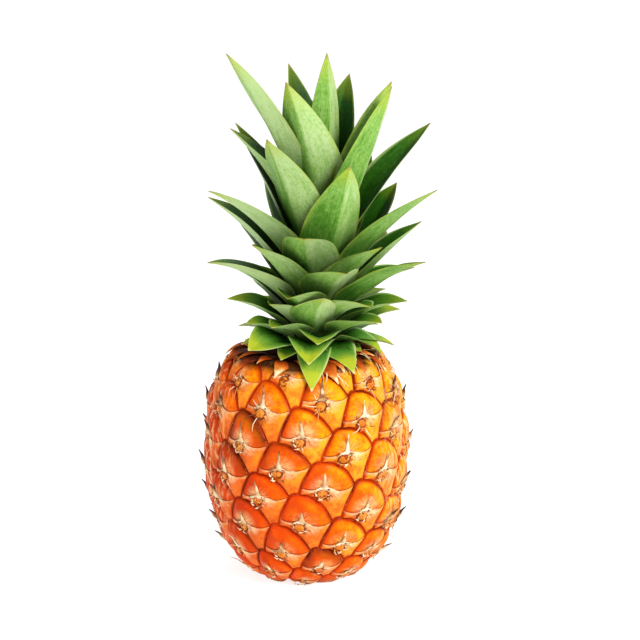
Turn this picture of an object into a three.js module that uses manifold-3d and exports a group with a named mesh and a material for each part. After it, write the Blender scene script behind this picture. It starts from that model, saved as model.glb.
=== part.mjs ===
// A ripe pineapple with its leafy crown, standing upright on its trimmed base.
// Units are millimetres and +Z is up. The origin is the centre of the cut stalk's face, on the
// surface that the fruit stands on. Angles round the axis are measured from -Y towards +X.
//
// Three solids: the fruit with its eyes and bracts, the crown with all its leaves, and the cut
// stalk in the base. Eyes and leaves both follow one spiral, each a golden angle from the last.
import * as THREE from "three";
import { mergeVertices } from "three/addons/utils/BufferGeometryUtils.js";
import Module from "manifold-3d";

const wasm = await Module();
wasm.setup();

// ---------------------------------------------------------------- driving dimensions
const FIT_GAP = 0.4; // clearance where two solids meet
const SIDES = { cutter: 8, stem: 16, stalk: 24, hollow: 32 }; // flats round each turned piece
const DEGREE = Math.PI / 180;

// Fruit. The skin outline is [radius, height] where the creases between the eyes lie.
const SKIN_OUTLINE = [
  [27, 123], [35, 121], [42.4, 114], [48.6, 101], [51.8, 84], [52.8, 65],
  [51, 46], [46.4, 28], [40.5, 15.5], [34.5, 7.6], [29, 2], [24, -0.8],
];
const GIRTH_RADIUS = 52.8;
const GIRTH_HEIGHT = 65;
const FRUIT_POLES = [119, 2]; // heights at which the skin would close on the axis
const POLE_EYES = 15; // eyes' worth of spiral between the outline's ends and the axis
const BASE_HOLLOW = { radius: 20, height: 2.2 }; // round the stalk, inside the ring it rests on

// Eyes. One eye is a tile whose left and upper border is given as steps along the two visible
// spirals, and whose right and lower border is the same points moved on by one whole step.
const EYE_TURN = 137.64; // degrees from one eye to the next
const EYE_FIRST_ANGLE = 279.2;
const EYE_RISE = 1.426; // distance down the skin from one eye to the next, at the girth
const EYE_CROWDING = 0.55; // how closely that distance follows the fruit's radius
const EYE_CAP_HEIGHT = 3; // of the shiny upper half over the creases
const EYE_BRACT_HEIGHT = 1.9; // of the leafy lower half
const SPIRAL_A = { eyes: 8, turn: 8 * EYE_TURN - 3 * 360 };
const SPIRAL_B = { eyes: 13, turn: 13 * EYE_TURN - 5 * 360 };
const TILE_LEFT = [[-0.34, 0.47], [-0.42, 0.08], [-0.46, -0.36], [-0.34, -0.53]];
const TILE_ABOVE = [[-0.1, -0.6], [0.24, -0.54]];
const TILE_RINGS = [ // share of the way out to the border, and of the full height
  [0.5, 1],
  [0.86, 0.62],
];
const ROW_TILT = { eyes: -2.46, phase: 0.533 }; // the rows lean to one side
const ROW_WAVER = { eyes: 1.51, phase: 4.51, length: 9 }; // and stray up and down a little
const EYE_SWELL = { share: 0.2, toward: 0.574 }; // eyes are wider on one side of the fruit

// Spines: the dry tip of the bract at the middle of each eye, leaning up over its cap.
const SPINE = { reach: 9, lift: 5.6, halfWidth: 0.09, heel: 0.1 };
const SPINE_ZONE = [9, 110]; // heights between which the spines stand up
const SPINE_CORNERS = [[-SPINE.halfWidth, 0], [SPINE.halfWidth, 0], [0, SPINE.heel]];
const SPINE_CORNER_AT = [0, 0, 0, 0, 0, 1, 1, 1, 1, 2, 2, 2]; // for each border point

// Crown. Heights are over the fruit's seat for it. Each row of the trend gives a leaf's number
// from the innermost outwards, the height of its root, the radius and height of its tip, the
// slope in degrees that it sets off at, and its width.
const SEAT = { x: 3, z: 112, radius: 16, lean: 3.5 };
const STEM = { radius: 15.4, height: 96, taper: 1.7, rings: [0, 0.15, 0.35, 0.55, 0.75, 0.9] };
const LEAF_COUNT = 66;
const LEAF_TURN = 137.5;
const LEAF_FIRST_ANGLE = 35;
const LEAF_THICKNESS = 0.9;
const LEAF_TREND = [
  [0, 78, 8, 170, 88, 28], [5, 68, 28, 165, 76, 38], [10, 58, 50, 134, 65, 38],
  [16, 46, 62, 104, 58, 37], [22, 38, 58, 88, 54, 36], [28, 32, 61, 63, 50, 34],
  [36, 25, 50, 43, 42, 31], [44, 20, 46, 34, 36, 27], [52, 16, 42, 22, 28, 24],
  [59, 14, 42, 14, 22, 21], [65, 13, 38, 11, 15, 18],
];
// Leaves that stray from the trend: their turn, slope, bend aside, twist and width, and where
// their tips end.
const LEAF_OWN = {
  0: { bend: -8 },
  1: { radius: 16, z: 157, bend: -8 },
  2: { turn: -22, radius: 55, z: 167, slope: 69, width: 30, twist: 30 },
  3: { turn: -14, radius: 32, z: 157, slope: 70, twist: -35 },
  4: { radius: 33, z: 159 },
  5: { turn: -15, radius: 22, z: 155, bend: -18, width: 42 },
  6: { radius: 31, z: 116 },
  7: { radius: 50, z: 128, slope: 68 },
  8: { radius: 36, z: 156 },
  10: { turn: -10, z: 129 },
  11: { radius: 58, z: 133 },
  12: { radius: 51, z: 127 },
  13: { radius: 36, z: 117 },
  15: { radius: 65, z: 99 },
  18: { turn: -4, radius: 60, z: 84, bend: 6 },
  19: { radius: 50, z: 98 },
  20: { radius: 60, z: 89 },
  21: { radius: 45, z: 76 },
  23: { radius: 50, z: 74 },
  24: { radius: 53, z: 83 },
  26: { z: 68 },
  28: { z: 60 },
  29: { z: 68 },
  31: { turn: 4, radius: 58, z: 52 },
  36: { radius: 33, z: 40 },
  39: { radius: 42, z: 50, bend: 6 },
  44: { turn: 0, radius: 36, z: 29 },
  47: { turn: -11, radius: 41, z: 25, bend: -3 },
  49: { turn: 0, radius: 40, z: 28 },
  50: { turn: 0, radius: 38, z: 13 },
  52: { turn: 12, radius: 44, z: 15, bend: 0, width: 28 },
  55: { turn: -3, radius: 34, z: 2, bend: -2 },
  57: { turn: 0, radius: 46, z: 17, bend: 0, width: 30, twist: -25 },
  60: { turn: -5, radius: 46, z: 1, bend: 0 },
  63: { turn: 0, radius: 30, z: 15, bend: 0 },
  65: { turn: 0, radius: 36, z: 13, bend: 0 },
};
const LEAF_CLASP = 0.9; // where a leaf's root is set, as a share of the stem's radius
const LEAF_HEEL = 0.55; // how much of its reach a leaf runs before it bends over
const LEAF_SHAPE = { rootShare: 0.4, growth: 2.2, taper: 3 };
const LEAF_STATIONS = { long: [0, 0.2, 0.45, 0.7, 0.88, 1], short: [0, 0.25, 0.55, 0.82, 1] };
const SHORT_LEAVES_FROM = 44;
const LEAF_FOLD = { inner: 38, outer: 18, tip: 20 }; // degrees that each half is folded up by
const LEAF_WOBBLE = { turn: 4, reach: 0.05, bend: 4, twist: 9 };

// Stalk.
const STALK = { radius: 12, height: 9, chamfer: 0.6 };

// ---------------------------------------------------------------- small helpers

// A fixed scatter between -1 and 1 for a numbered piece.
function wobble(number, salt) {
  const x = Math.sin(number * 12.9898 + salt * 78.233) * 43758.5453;
  return 2 * (x - Math.floor(x)) - 1;
}

const aroundAxis = (radius, angle, z) =>
  new THREE.Vector3(radius * Math.sin(angle), -radius * Math.cos(angle), z);

// The value of a trend's column at a number between its rows.
function trendAt(trend, number, column) {
  const next = Math.max(1, trend.findIndex((row) => row[0] >= number));
  const [before, after] = [trend[next - 1], trend[next]];
  const share = (number - before[0]) / (after[0] - before[0]);
  return THREE.MathUtils.lerp(before[column], after[column], share);
}

function bareGeometry(points, faces) {
  const geometry = new THREE.BufferGeometry().setFromPoints(points);
  geometry.setIndex(faces.flat());
  return geometry;
}

function solidOf(geometry) {
  const bare = geometry.clone();
  bare.deleteAttribute("normal");
  bare.deleteAttribute("uv");
  const merged = mergeVertices(bare, 1e-4);
  return new wasm.Manifold(
    new wasm.Mesh({
      numProp: 3,
      vertProperties: new Float32Array(merged.attributes.position.array),
      triVerts: new Uint32Array(merged.index.array),
    }),
  );
}

function geometryOf(solid) {
  const { numProp, numVert, vertProperties, triVerts } = solid.getMesh();
  const points = [];
  for (let i = 0; i < numVert; i++) {
    points.push(new THREE.Vector3().fromArray(vertProperties, i * numProp));
  }
  const geometry = bareGeometry(points, Array.from(triVerts));
  geometry.computeVertexNormals();
  return geometry;
}

// A round piece about Z from its [radius, height] outline, which starts and ends on the axis.
function turned(outline, sides) {
  const points = outline.map(([radius, z]) => new THREE.Vector2(radius, z));
  return new THREE.LatheGeometry(points, sides).rotateX(Math.PI / 2);
}

// A plain round bar for cutting, standing on a height.
const bar = (radius, from, to, sides) =>
  turned([[0, from], [radius, from], [radius, to], [0, to]], sides);

// ---------------------------------------------------------------- fruit
const skin = new THREE.SplineCurve(SKIN_OUTLINE.map(([r, z]) => new THREE.Vector2(r, z)));
const skinLength = skin.getLength();

// How far down the skin each eye sits. They crowd together where the fruit narrows.
const eyeDepths = [0];
while (eyeDepths.at(-1) < skinLength) {
  const { x: radius } = skin.getPointAt(eyeDepths.at(-1) / skinLength);
  eyeDepths.push(eyeDepths.at(-1) + EYE_RISE * (1 - EYE_CROWDING * (1 - radius / GIRTH_RADIUS)));
}
const EYE_COUNT = eyeDepths.length - 1;

// The point of the skin at a place on the spiral, raised by a height. Beyond either end of the
// outline the spiral runs on towards the axis.
function onSkin(place, turn, height) {
  const evenAngle = turn * DEGREE;
  const angle = evenAngle + EYE_SWELL.share * Math.sin(evenAngle - EYE_SWELL.toward);
  const waist = Math.sin((Math.PI * THREE.MathUtils.clamp(place, 0, EYE_COUNT)) / EYE_COUNT);
  const tilt = ROW_TILT.eyes * Math.sin(evenAngle + ROW_TILT.phase);
  const waverAngle = 3 * evenAngle + place / ROW_WAVER.length + ROW_WAVER.phase;
  const waver = ROW_WAVER.eyes * Math.sin(waverAngle);
  const straying = THREE.MathUtils.clamp(place - (tilt - waver) * waist, 0, EYE_COUNT - 0.001);
  const row = Math.floor(straying);
  const rowEnd = Math.min(eyeDepths[row + 1], skinLength);
  const along = THREE.MathUtils.lerp(eyeDepths[row], rowEnd, straying - row) / skinLength;
  const point = skin.getPointAt(along);
  const slope = skin.getTangentAt(along);
  const beyond = Math.max(-place, place - EYE_COUNT, 0) / POLE_EYES;
  const pole = FRUIT_POLES[place < 0 ? 0 : 1];
  const radius = (point.x - slope.y * height) * (1 - beyond);
  const z = THREE.MathUtils.lerp(point.y + slope.x * height, pole, beyond);
  return aroundAxis(radius, angle, z);
}

// A point of an eye's tile, by its steps along the two spirals from the eye's middle.
function onTile(eye, [stepsA, stepsB], height) {
  const place = eye + stepsA * SPIRAL_A.eyes + stepsB * SPIRAL_B.eyes;
  const turn =
    EYE_FIRST_ANGLE + eye * EYE_TURN + stepsA * SPIRAL_A.turn + stepsB * SPIRAL_B.turn;
  return onSkin(place, turn, height);
}

const moved = (points, a, b) => points.map(([x, y]) => [x + a, y + b]);
const TILE_BORDER = [
  ...TILE_LEFT,
  ...TILE_ABOVE,
  ...moved(TILE_LEFT.slice(1, 3).reverse(), 1, 0),
  ...moved(TILE_LEFT.slice(2).reverse(), 1, 1),
  ...moved([...TILE_ABOVE].reverse(), 0, 1),
];
// How much of each border point's side is shiny cap, from none to all.
const CAP_SHARE = [0.1, 0.9, 1, 1, 1, 1, 0.7, 0.2, 0, 0, 0, 0];

function spineTip(eye) {
  const base = onTile(eye, [0, 0], 0);
  const stands = base.z > SPINE_ZONE[0] && base.z < SPINE_ZONE[1];
  const out = onTile(eye, [0, 0], 1).sub(base);
  if (!stands) return base.addScaledVector(out, EYE_BRACT_HEIGHT);
  const across = new THREE.Vector3(-out.y, out.x, 0).normalize();
  const up = new THREE.Vector3().crossVectors(out, across);
  return base.addScaledVector(out, SPINE.lift)
    .addScaledVector(up, SPINE.reach * (1 + 0.2 * wobble(eye, 1)))
    .addScaledVector(across, wobble(eye, 2));
}

// The faces of one eye: a spine at its middle, and a band between each two rings round it.
function eyeFaces(eye) {
  const fade = Math.min(1, (eye + 6) / 20, (EYE_COUNT + 6 - eye) / 20);
  const rings = TILE_RINGS.map(([out, up]) =>
    TILE_BORDER.map(([a, b], i) => {
      const full = THREE.MathUtils.lerp(EYE_BRACT_HEIGHT, EYE_CAP_HEIGHT, CAP_SHARE[i]);
      return onTile(eye, [a * out, b * out], up * full * fade);
    }),
  );
  rings.push(TILE_BORDER.map((at) => onTile(eye, at, 0)));
  const corners = SPINE_CORNERS.map((at) => onTile(eye, at, EYE_BRACT_HEIGHT * fade));
  const tip = spineTip(eye);
  const faces = corners.map((corner, i) => [corner, tip, corners[(i + 1) % 3]]);
  TILE_BORDER.forEach((_, i) => {
    const j = (i + 1) % TILE_BORDER.length;
    const [corner, nextCorner] = [corners[SPINE_CORNER_AT[i]], corners[SPINE_CORNER_AT[j]]];
    faces.push([corner, rings[0][j], rings[0][i]]);
    if (corner !== nextCorner) faces.push([corner, nextCorner, rings[0][j]]);
    for (let ring = 1; ring < rings.length; ring++) {
      faces.push([rings[ring - 1][i], rings[ring - 1][j], rings[ring][j]]);
      faces.push([rings[ring - 1][i], rings[ring][j], rings[ring][i]]);
    }
  });
  return faces;
}

// The whole skin, closed on the axis above and below by a fan on its open edges.
function skinSolid() {
  const corners = [];
  for (let eye = 0; eye < EYE_COUNT; eye++) {
    corners.push(...eyeFaces(eye).flat());
  }
  const open = mergeVertices(new THREE.BufferGeometry().setFromPoints(corners), 1e-4);
  const at = (i) => new THREE.Vector3().fromBufferAttribute(open.attributes.position, i);
  const index = Array.from(open.index.array);
  const edges = new Map();
  for (let i = 0; i < index.length; i++) {
    const next = i % 3 === 2 ? i - 2 : i + 1;
    edges.set(`${index[i]} ${index[next]}`, [index[i], index[next]]);
  }
  const faces = index.map(at);
  for (const [from, to] of edges.values()) {
    if (edges.has(`${to} ${from}`)) continue;
    const pole = FRUIT_POLES[at(from).z > GIRTH_HEIGHT ? 0 : 1];
    faces.push(at(to), at(from), new THREE.Vector3(0, 0, pole));
  }
  return solidOf(bareGeometry(faces, faces.map((_, i) => i)));
}

const seatFrame = new THREE.Matrix4()
  .makeRotationY(SEAT.lean * DEGREE)
  .setPosition(SEAT.x, 0, SEAT.z);

function fruitSolid() {
  const clearance = 60;
  const seat = bar(SEAT.radius, 0, clearance, SIDES.stalk).applyMatrix4(seatFrame);
  return skinSolid()
    .subtract(solidOf(bar(2 * GIRTH_RADIUS, -clearance, 0, SIDES.cutter)))
    .subtract(solidOf(bar(BASE_HOLLOW.radius, -1, BASE_HOLLOW.height, SIDES.hollow)))
    .subtract(solidOf(bar(STALK.radius + FIT_GAP, -1, STALK.height + FIT_GAP, SIDES.stalk)))
    .subtract(solidOf(seat));
}

// ---------------------------------------------------------------- crown

// Moves a point, in the crown's own frame, out to a clearance over the fruit's highest relief.
function clearOfFruit(point) {
  const clearance = EYE_CAP_HEIGHT + 2 * FIT_GAP + LEAF_THICKNESS / 2;
  const placed = point.clone().applyMatrix4(seatFrame);
  const radius = Math.hypot(placed.x, placed.y);
  const samples = 40;
  const shoulder = 0.6;
  let nearest = { distance: Infinity };
  for (let i = 0; i <= samples; i++) {
    const along = (shoulder * i) / samples;
    const at = skin.getPointAt(along);
    const distance = Math.hypot(at.x - radius, at.y - placed.z);
    if (distance < nearest.distance) nearest = { distance, at, along };
  }
  const slope = skin.getTangentAt(nearest.along);
  const over = (nearest.at.y - placed.z) * -slope.x + (radius - nearest.at.x) * -slope.y;
  const push = Math.max(0, clearance - over);
  const grown = (radius - slope.y * push) / radius;
  placed.set(placed.x * grown, placed.y * grown, placed.z + slope.x * push);
  return placed.applyMatrix4(seatFrame.clone().invert());
}

// One leaf: a channelled blade along an arch that starts inside the stem.
function leafSolid(number) {
  const trend = (column) => trendAt(LEAF_TREND, number, column);
  const {
    turn = LEAF_WOBBLE.turn * wobble(number, 3),
    radius = trend(2) * (1 + LEAF_WOBBLE.reach * wobble(number, 4)),
    z = trend(3),
    slope = trend(4),
    width = trend(5),
    bend = LEAF_WOBBLE.bend * wobble(number, 5),
    twist = LEAF_WOBBLE.twist * wobble(number, 6),
  } = LEAF_OWN[number] ?? {};
  const rootZ = trend(1);
  const angle = (LEAF_FIRST_ANGLE + number * LEAF_TURN + turn) * DEGREE;
  const root = new THREE.Vector2(LEAF_CLASP * stemRadiusAt(rootZ), rootZ);
  const tip = new THREE.Vector2(radius, z);
  const heel = LEAF_HEEL * root.distanceTo(tip);
  const bendBy = new THREE.Vector2(Math.cos(slope * DEGREE), Math.sin(slope * DEGREE));
  const arch = new THREE.QuadraticBezierCurve(root, bendBy.multiplyScalar(heel).add(root), tip);
  const rootFold = THREE.MathUtils.lerp(LEAF_FOLD.inner, LEAF_FOLD.outer, number / LEAF_COUNT);
  const outward = aroundAxis(1, angle, 0);
  const sideways = new THREE.Vector3(0, 0, 1).cross(outward);
  const stations = number < SHORT_LEAVES_FROM ? LEAF_STATIONS.long : LEAF_STATIONS.short;
  const points = [];
  for (const t of stations) {
    const at = arch.getPoint(t);
    const along = arch.getTangent(t);
    const middle = outward.clone().multiplyScalar(at.x).setZ(at.y)
      .addScaledVector(sideways, bend * t * t);
    const facing = outward.clone().multiplyScalar(-along.y).setZ(along.x);
    const heading = outward.clone().multiplyScalar(along.x).setZ(along.y);
    const twisted = twist * t * DEGREE;
    const side = sideways.clone().applyAxisAngle(heading, twisted);
    facing.applyAxisAngle(heading, twisted);
    const opening = Math.min(1, LEAF_SHAPE.rootShare + LEAF_SHAPE.growth * t);
    const closing = 1 - t ** LEAF_SHAPE.taper;
    const half = Math.max(LEAF_THICKNESS / 2, (width / 2) * opening * closing);
    const fold = THREE.MathUtils.lerp(rootFold, LEAF_FOLD.tip, t) * DEGREE;
    const blade = [-1, 0, 1].map((wing) =>
      clearOfFruit(
        middle.clone()
          .addScaledVector(side, wing * half * Math.cos(fold))
          .addScaledVector(facing, Math.abs(wing) * half * Math.sin(fold)),
      ),
    );
    for (const skinSide of [-0.5, 0.5]) {
      const raise = skinSide * LEAF_THICKNESS;
      points.push(...blade.map((point) => point.clone().addScaledVector(facing, raise)));
    }
  }
  return solidOf(bareGeometry(points, bladeFaces(stations.length)));
}

// The faces of a blade of six points a station: three under, then three over.
function bladeFaces(stations) {
  const loop = [0, 1, 2, 5, 4, 3];
  const faces = [[0, 3, 1], [1, 3, 4], [1, 4, 2], [2, 4, 5]];
  const last = 6 * (stations - 1);
  faces.push(...faces.map(([a, b, c]) => [last + a, last + c, last + b]));
  for (let station = 0; station < stations - 1; station++) {
    for (let i = 0; i < loop.length; i++) {
      const a = 6 * station + loop[i];
      const b = 6 * station + loop[(i + 1) % loop.length];
      faces.push([a, b, b + 6], [a, b + 6, a + 6]);
    }
  }
  return faces;
}

const stemRadiusAt = (z) =>
  STEM.radius * (1 - THREE.MathUtils.clamp(z / STEM.height, 0, 1) ** STEM.taper);

function crownSolid() {
  const outline = [[0, FIT_GAP]];
  for (const share of STEM.rings) {
    outline.push([stemRadiusAt(share * STEM.height), FIT_GAP + share * STEM.height]);
  }
  outline.push([0, STEM.height]);
  const stem = turned(outline, SIDES.stem);
  const leaves = [];
  for (let number = 0; number < LEAF_COUNT; number++) {
    leaves.push(leafSolid(number));
  }
  const parts = wasm.Manifold.union([solidOf(stem), ...leaves]).decompose();
  return parts.reduce((most, part) => (part.volume() > most.volume() ? part : most));
}

// ---------------------------------------------------------------- stalk
const stalkGeometry = () =>
  turned(
    [
      [0, 0], [STALK.radius - STALK.chamfer, 0], [STALK.radius, STALK.chamfer],
      [STALK.radius, STALK.height], [0, STALK.height],
    ],
    SIDES.stalk,
  );

// ---------------------------------------------------------------- the object
function piece(name, geometry, color, roughness) {
  const material = new THREE.MeshStandardMaterial({ color, roughness, metalness: 0 });
  const mesh = new THREE.Mesh(geometry, material);
  mesh.name = name;
  return mesh;
}

const pineapple = new THREE.Group();
const fruit = piece("fruit", geometryOf(fruitSolid()), 0xd98a1f, 0.4);
const stalk = piece("stalk_stub", stalkGeometry(), 0xb89a62, 0.85);
const crown = piece("crown", geometryOf(crownSolid()), 0x5f8a3a, 0.6);
crown.applyMatrix4(seatFrame);
pineapple.add(fruit, stalk, crown);
export default pineapple;
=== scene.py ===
import math

import bpy
import numpy as np
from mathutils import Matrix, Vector


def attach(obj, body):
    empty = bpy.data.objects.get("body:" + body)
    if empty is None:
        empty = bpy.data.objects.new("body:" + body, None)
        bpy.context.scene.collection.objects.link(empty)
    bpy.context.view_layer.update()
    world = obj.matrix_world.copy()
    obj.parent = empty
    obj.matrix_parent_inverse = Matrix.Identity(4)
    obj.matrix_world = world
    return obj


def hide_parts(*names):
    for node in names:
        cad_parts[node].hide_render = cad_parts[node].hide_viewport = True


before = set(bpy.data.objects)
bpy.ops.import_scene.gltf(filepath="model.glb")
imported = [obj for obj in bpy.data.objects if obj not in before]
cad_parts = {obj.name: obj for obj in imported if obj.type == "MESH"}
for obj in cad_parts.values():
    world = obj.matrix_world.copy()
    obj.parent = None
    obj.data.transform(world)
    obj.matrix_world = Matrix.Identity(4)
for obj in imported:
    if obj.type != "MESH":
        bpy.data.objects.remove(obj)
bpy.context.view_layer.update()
MM = 0.001

# ---------------------------------------------------------------- rind
# The fruit's skin: about 112 eyes on a golden-angle spiral. Each eye is a waxy, swollen cap with
# the fleshy half of its bract below, lapped over the cap's lower edge. It grew as one piece.
SKIN_OUTLINE = [  # radius and height of the creases between the eyes, from crown to base
    (27, 123), (35, 121), (42.4, 114), (48.6, 101), (51.8, 84), (52.8, 65),
    (51, 46), (46.4, 28), (40.5, 15.5), (34.5, 7.6), (29, 2), (24, -0.8),
]
GIRTH_RADIUS = 52.8
FRUIT_POLES = (119, 2)
POLE_EYES = 15
EYE_TURN = 137.64
EYE_FIRST_ANGLE = 279.2
EYE_RISE = 1.426
EYE_CROWDING = 0.55
SPIRAL_A = (8, 8 * EYE_TURN - 3 * 360)
SPIRAL_B = (13, 13 * EYE_TURN - 5 * 360)
ROW_TILT = (-2.46, 0.533)
ROW_WAVER = (1.51, 4.51, 9)
EYE_SWELL = (0.2, 0.574)


def wobble(number, salt):
    """A fixed scatter between -1 and 1 for a numbered piece."""
    x = np.sin(np.asarray(number) * 12.9898 + salt * 78.233) * 43758.5453
    return 2 * (x - np.floor(x)) - 1


def flowing(points, samples):
    """A smooth curve through points, as evenly numbered samples."""
    points = np.asarray(points, float)
    last = len(points) - 1
    t = np.linspace(0, last, samples)
    i = np.minimum(t.astype(int), last - 1)
    w = (t - i)[:, None]
    p0, p1 = points[np.maximum(i - 1, 0)], points[i]
    p2, p3 = points[i + 1], points[np.minimum(i + 2, last)]
    v0, v1 = (p2 - p0) / 2, (p3 - p1) / 2
    return (2 * p1 - 2 * p2 + v0 + v1) * w**3 + (-3 * p1 + 3 * p2 - 2 * v0 - v1) * w**2 + v0 * w + p1


skin = flowing(SKIN_OUTLINE, 1200)
skin_steps = np.hypot(*np.diff(skin, axis=0).T)
skin_run = np.concatenate([[0], np.cumsum(skin_steps)])
skin_slope = np.gradient(skin, skin_run, axis=0)


def skin_at(run):
    """Radius, height and slope of the outline at distances down it."""
    return [np.interp(run, skin_run, column) for column in (*skin.T, *skin_slope.T)]


eye_runs = [0.0]
while eye_runs[-1] < skin_run[-1]:
    radius_here = skin_at(eye_runs[-1])[0]
    eye_runs.append(eye_runs[-1] + EYE_RISE * (1 - EYE_CROWDING * (1 - radius_here / GIRTH_RADIUS)))
EYE_COUNT = len(eye_runs) - 1
eye_runs[-1] = skin_run[-1]


def on_skin(place, turn, height):
    """Points of the skin at places on the spiral, raised by heights, in millimetres."""
    place, even_angle = np.asarray(place, float), np.radians(turn)
    angle = even_angle + EYE_SWELL[0] * np.sin(even_angle - EYE_SWELL[1])
    waist = np.sin(np.pi * np.clip(place, 0, EYE_COUNT) / EYE_COUNT)
    tilt = ROW_TILT[0] * np.sin(even_angle + ROW_TILT[1])
    waver = ROW_WAVER[0] * np.sin(3 * even_angle + place / ROW_WAVER[2] + ROW_WAVER[1])
    straying = np.clip(place - (tilt - waver) * waist, 0, EYE_COUNT)
    run = np.interp(straying, np.arange(EYE_COUNT + 1), eye_runs)
    radius, z, slope_r, slope_z = skin_at(run)
    beyond = np.clip(np.maximum(-place, place - EYE_COUNT), 0, None) / POLE_EYES
    pole = np.where(place < 0, *FRUIT_POLES)
    radius = (radius - slope_z * height) * (1 - beyond)
    z = (z + slope_r * height) * (1 - beyond) + pole * beyond
    return np.stack([radius * np.sin(angle), -radius * np.cos(angle), z], -1)


def on_eye(eye, steps_a, steps_b, height):
    """Points of one eye, by their steps along the two spirals from its middle."""
    place = eye + steps_a * SPIRAL_A[0] + steps_b * SPIRAL_B[0]
    turn = EYE_FIRST_ANGLE + eye * EYE_TURN + steps_a * SPIRAL_A[1] + steps_b * SPIRAL_B[1]
    return on_skin(place, turn, height)


# The eye's border, in steps along the spirals: its right and lower sides are its left and upper
# sides moved on by one step, so neighbours meet exactly in a crease.
BORDER_LEFT = [(-0.34, 0.47), (-0.42, 0.08), (-0.46, -0.36)]
BORDER_CORNER = [(-0.46, -0.36), (-0.42, -0.46), (-0.34, -0.53)]
BORDER_ABOVE = [(-0.34, -0.53), (-0.1, -0.6), (0.24, -0.54), (0.54, -0.36)]
LEFT_COLUMNS, CORNER_COLUMNS, ABOVE_COLUMNS = 8, 4, 16
RINGS = 13
CAP_HEIGHT = 3.0
BRACT_HEIGHT = 2.5
RIM_HEIGHT = 1.2  # of the bract's edge over the cap that it laps
RIM_SAG = {"left": 1.2, "right": 2.7}  # how far that edge droops on its way to each corner
BUTTON = {"x": -1.4, "y": 4.2, "radius": 2.7, "groove": 0.5, "rise": 0.8}
GIRTH_EYE = 53
BROWNING_SALT = 1799


def ease(x):
    x = np.clip(x, 0, 1)
    return x * x * (3 - 2 * x)


left = flowing(BORDER_LEFT, LEFT_COLUMNS + 1)
corner = flowing(BORDER_CORNER, CORNER_COLUMNS + 1)
above = flowing(BORDER_ABOVE, ABOVE_COLUMNS + 1)
border = np.concatenate([
    left[:-1], corner[:-1], above[:-1], (left + (1, 0))[:0:-1], (corner + (1, 1))[:0:-1],
    (above + (0, 1))[:0:-1],
])
COLUMNS = len(border)
left_corner = LEFT_COLUMNS // 4
right_corner = LEFT_COLUMNS + CORNER_COLUMNS + ABOVE_COLUMNS
# Two columns stand at each of the cap's corners, one on the cap and one on the bract's edge.
order = np.arange(COLUMNS)
order = np.insert(order, [left_corner + 1, right_corner + 1], [left_corner, right_corner])
sag_here = np.where(
    np.abs(order - right_corner) < np.minimum(np.abs(order - left_corner), COLUMNS - np.abs(order - left_corner)),
    RIM_SAG["right"], RIM_SAG["left"],
)
cap_column = (np.arange(len(order)) > left_corner) & (np.arange(len(order)) <= right_corner + 1)
from_corner = np.minimum(
    np.abs(order - left_corner),
    np.minimum(np.abs(order - right_corner), COLUMNS - np.abs(order - left_corner)),
)

bpy.ops.object.select_all(action="DESELECT")
bpy.ops.mesh.primitive_grid_add(x_subdivisions=len(order), y_subdivisions=RINGS, size=1)
eye_sheet = bpy.context.object
sheet = np.array([v.co[:2] for v in eye_sheet.data.vertices]) + 0.5
column_of = np.rint(sheet[:, 0] * len(order)).astype(int) % len(order)
ring_of = sheet[:, 1]
sheet_faces = [tuple(p.vertices) for p in eye_sheet.data.polygons]
bpy.data.objects.remove(eye_sheet)

# The lengths of one step along each spiral at the girth, to the right and downwards.
steps_at_girth = [on_eye(GIRTH_EYE, a, b, 0) for a, b in ((0, 0), (1, 0), (0, 1))]
heading = math.atan2(steps_at_girth[0][0], -steps_at_girth[0][1])
STEP_A_MM, STEP_B_MM = [
    (math.cos(heading) * x + math.sin(heading) * y, -z)
    for x, y, z in (steps_at_girth[1] - steps_at_girth[0], steps_at_girth[2] - steps_at_girth[0])
]
step_area = STEP_A_MM[0] * STEP_B_MM[1] - STEP_A_MM[1] * STEP_B_MM[0]
drop_a, drop_b = -STEP_B_MM[0] / step_area, STEP_A_MM[0] / step_area


def in_mm(a, b):
    """A place in an eye, from spiral steps to millimetres right of and below its spine."""
    return a * STEP_A_MM[0] + b * STEP_B_MM[0], a * STEP_A_MM[1] + b * STEP_B_MM[1]


out = ring_of**0.9
at_border = border[order[column_of]]
on_cap = cap_column[column_of]
spread = from_corner[order[column_of]] / 5.0
plan_a, plan_b = at_border[:, 0] * out, at_border[:, 1] * out
# The bract's edge droops from the spine to each corner, and takes its neighbourhood with it.
droop = sag_here[column_of] * 4 * out * (1 - out) * np.exp(-(spread**2) * 2.2)
plan_a, plan_b = plan_a + droop * drop_a, plan_b + droop * drop_b
plan_x, plan_y = in_mm(plan_a, plan_b)
dome = 0.18 + 0.82 * out
cap_swell = CAP_HEIGHT * (4 * dome * (1 - dome)) ** 0.62
cap_rise = cap_swell * (0.62 + 0.38 * ease(spread))
rim_rise = 0.62 * cap_swell + RIM_HEIGHT * (1 - out) ** 0.5
bract_swell = BRACT_HEIGHT * (1 - out**2.4) ** 0.8
bract_rise = rim_rise + (bract_swell - rim_rise) * ease(spread * 1.3)
rise = np.where(on_cap, cap_rise, bract_rise)
from_button = np.hypot(plan_x - BUTTON["x"], plan_y - BUTTON["y"]) / BUTTON["radius"]
button_rise = BUTTON["rise"] * np.clip(1 - from_button**2, 0, 1) ** 0.5
button_groove = BUTTON["groove"] * np.exp(-(((from_button - 1.15) / 0.28) ** 2))
rise = rise + np.where(on_cap, 0, button_rise - button_groove)
rise = 2.3 + (rise - 2.3) * ease(out / 0.14)
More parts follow.
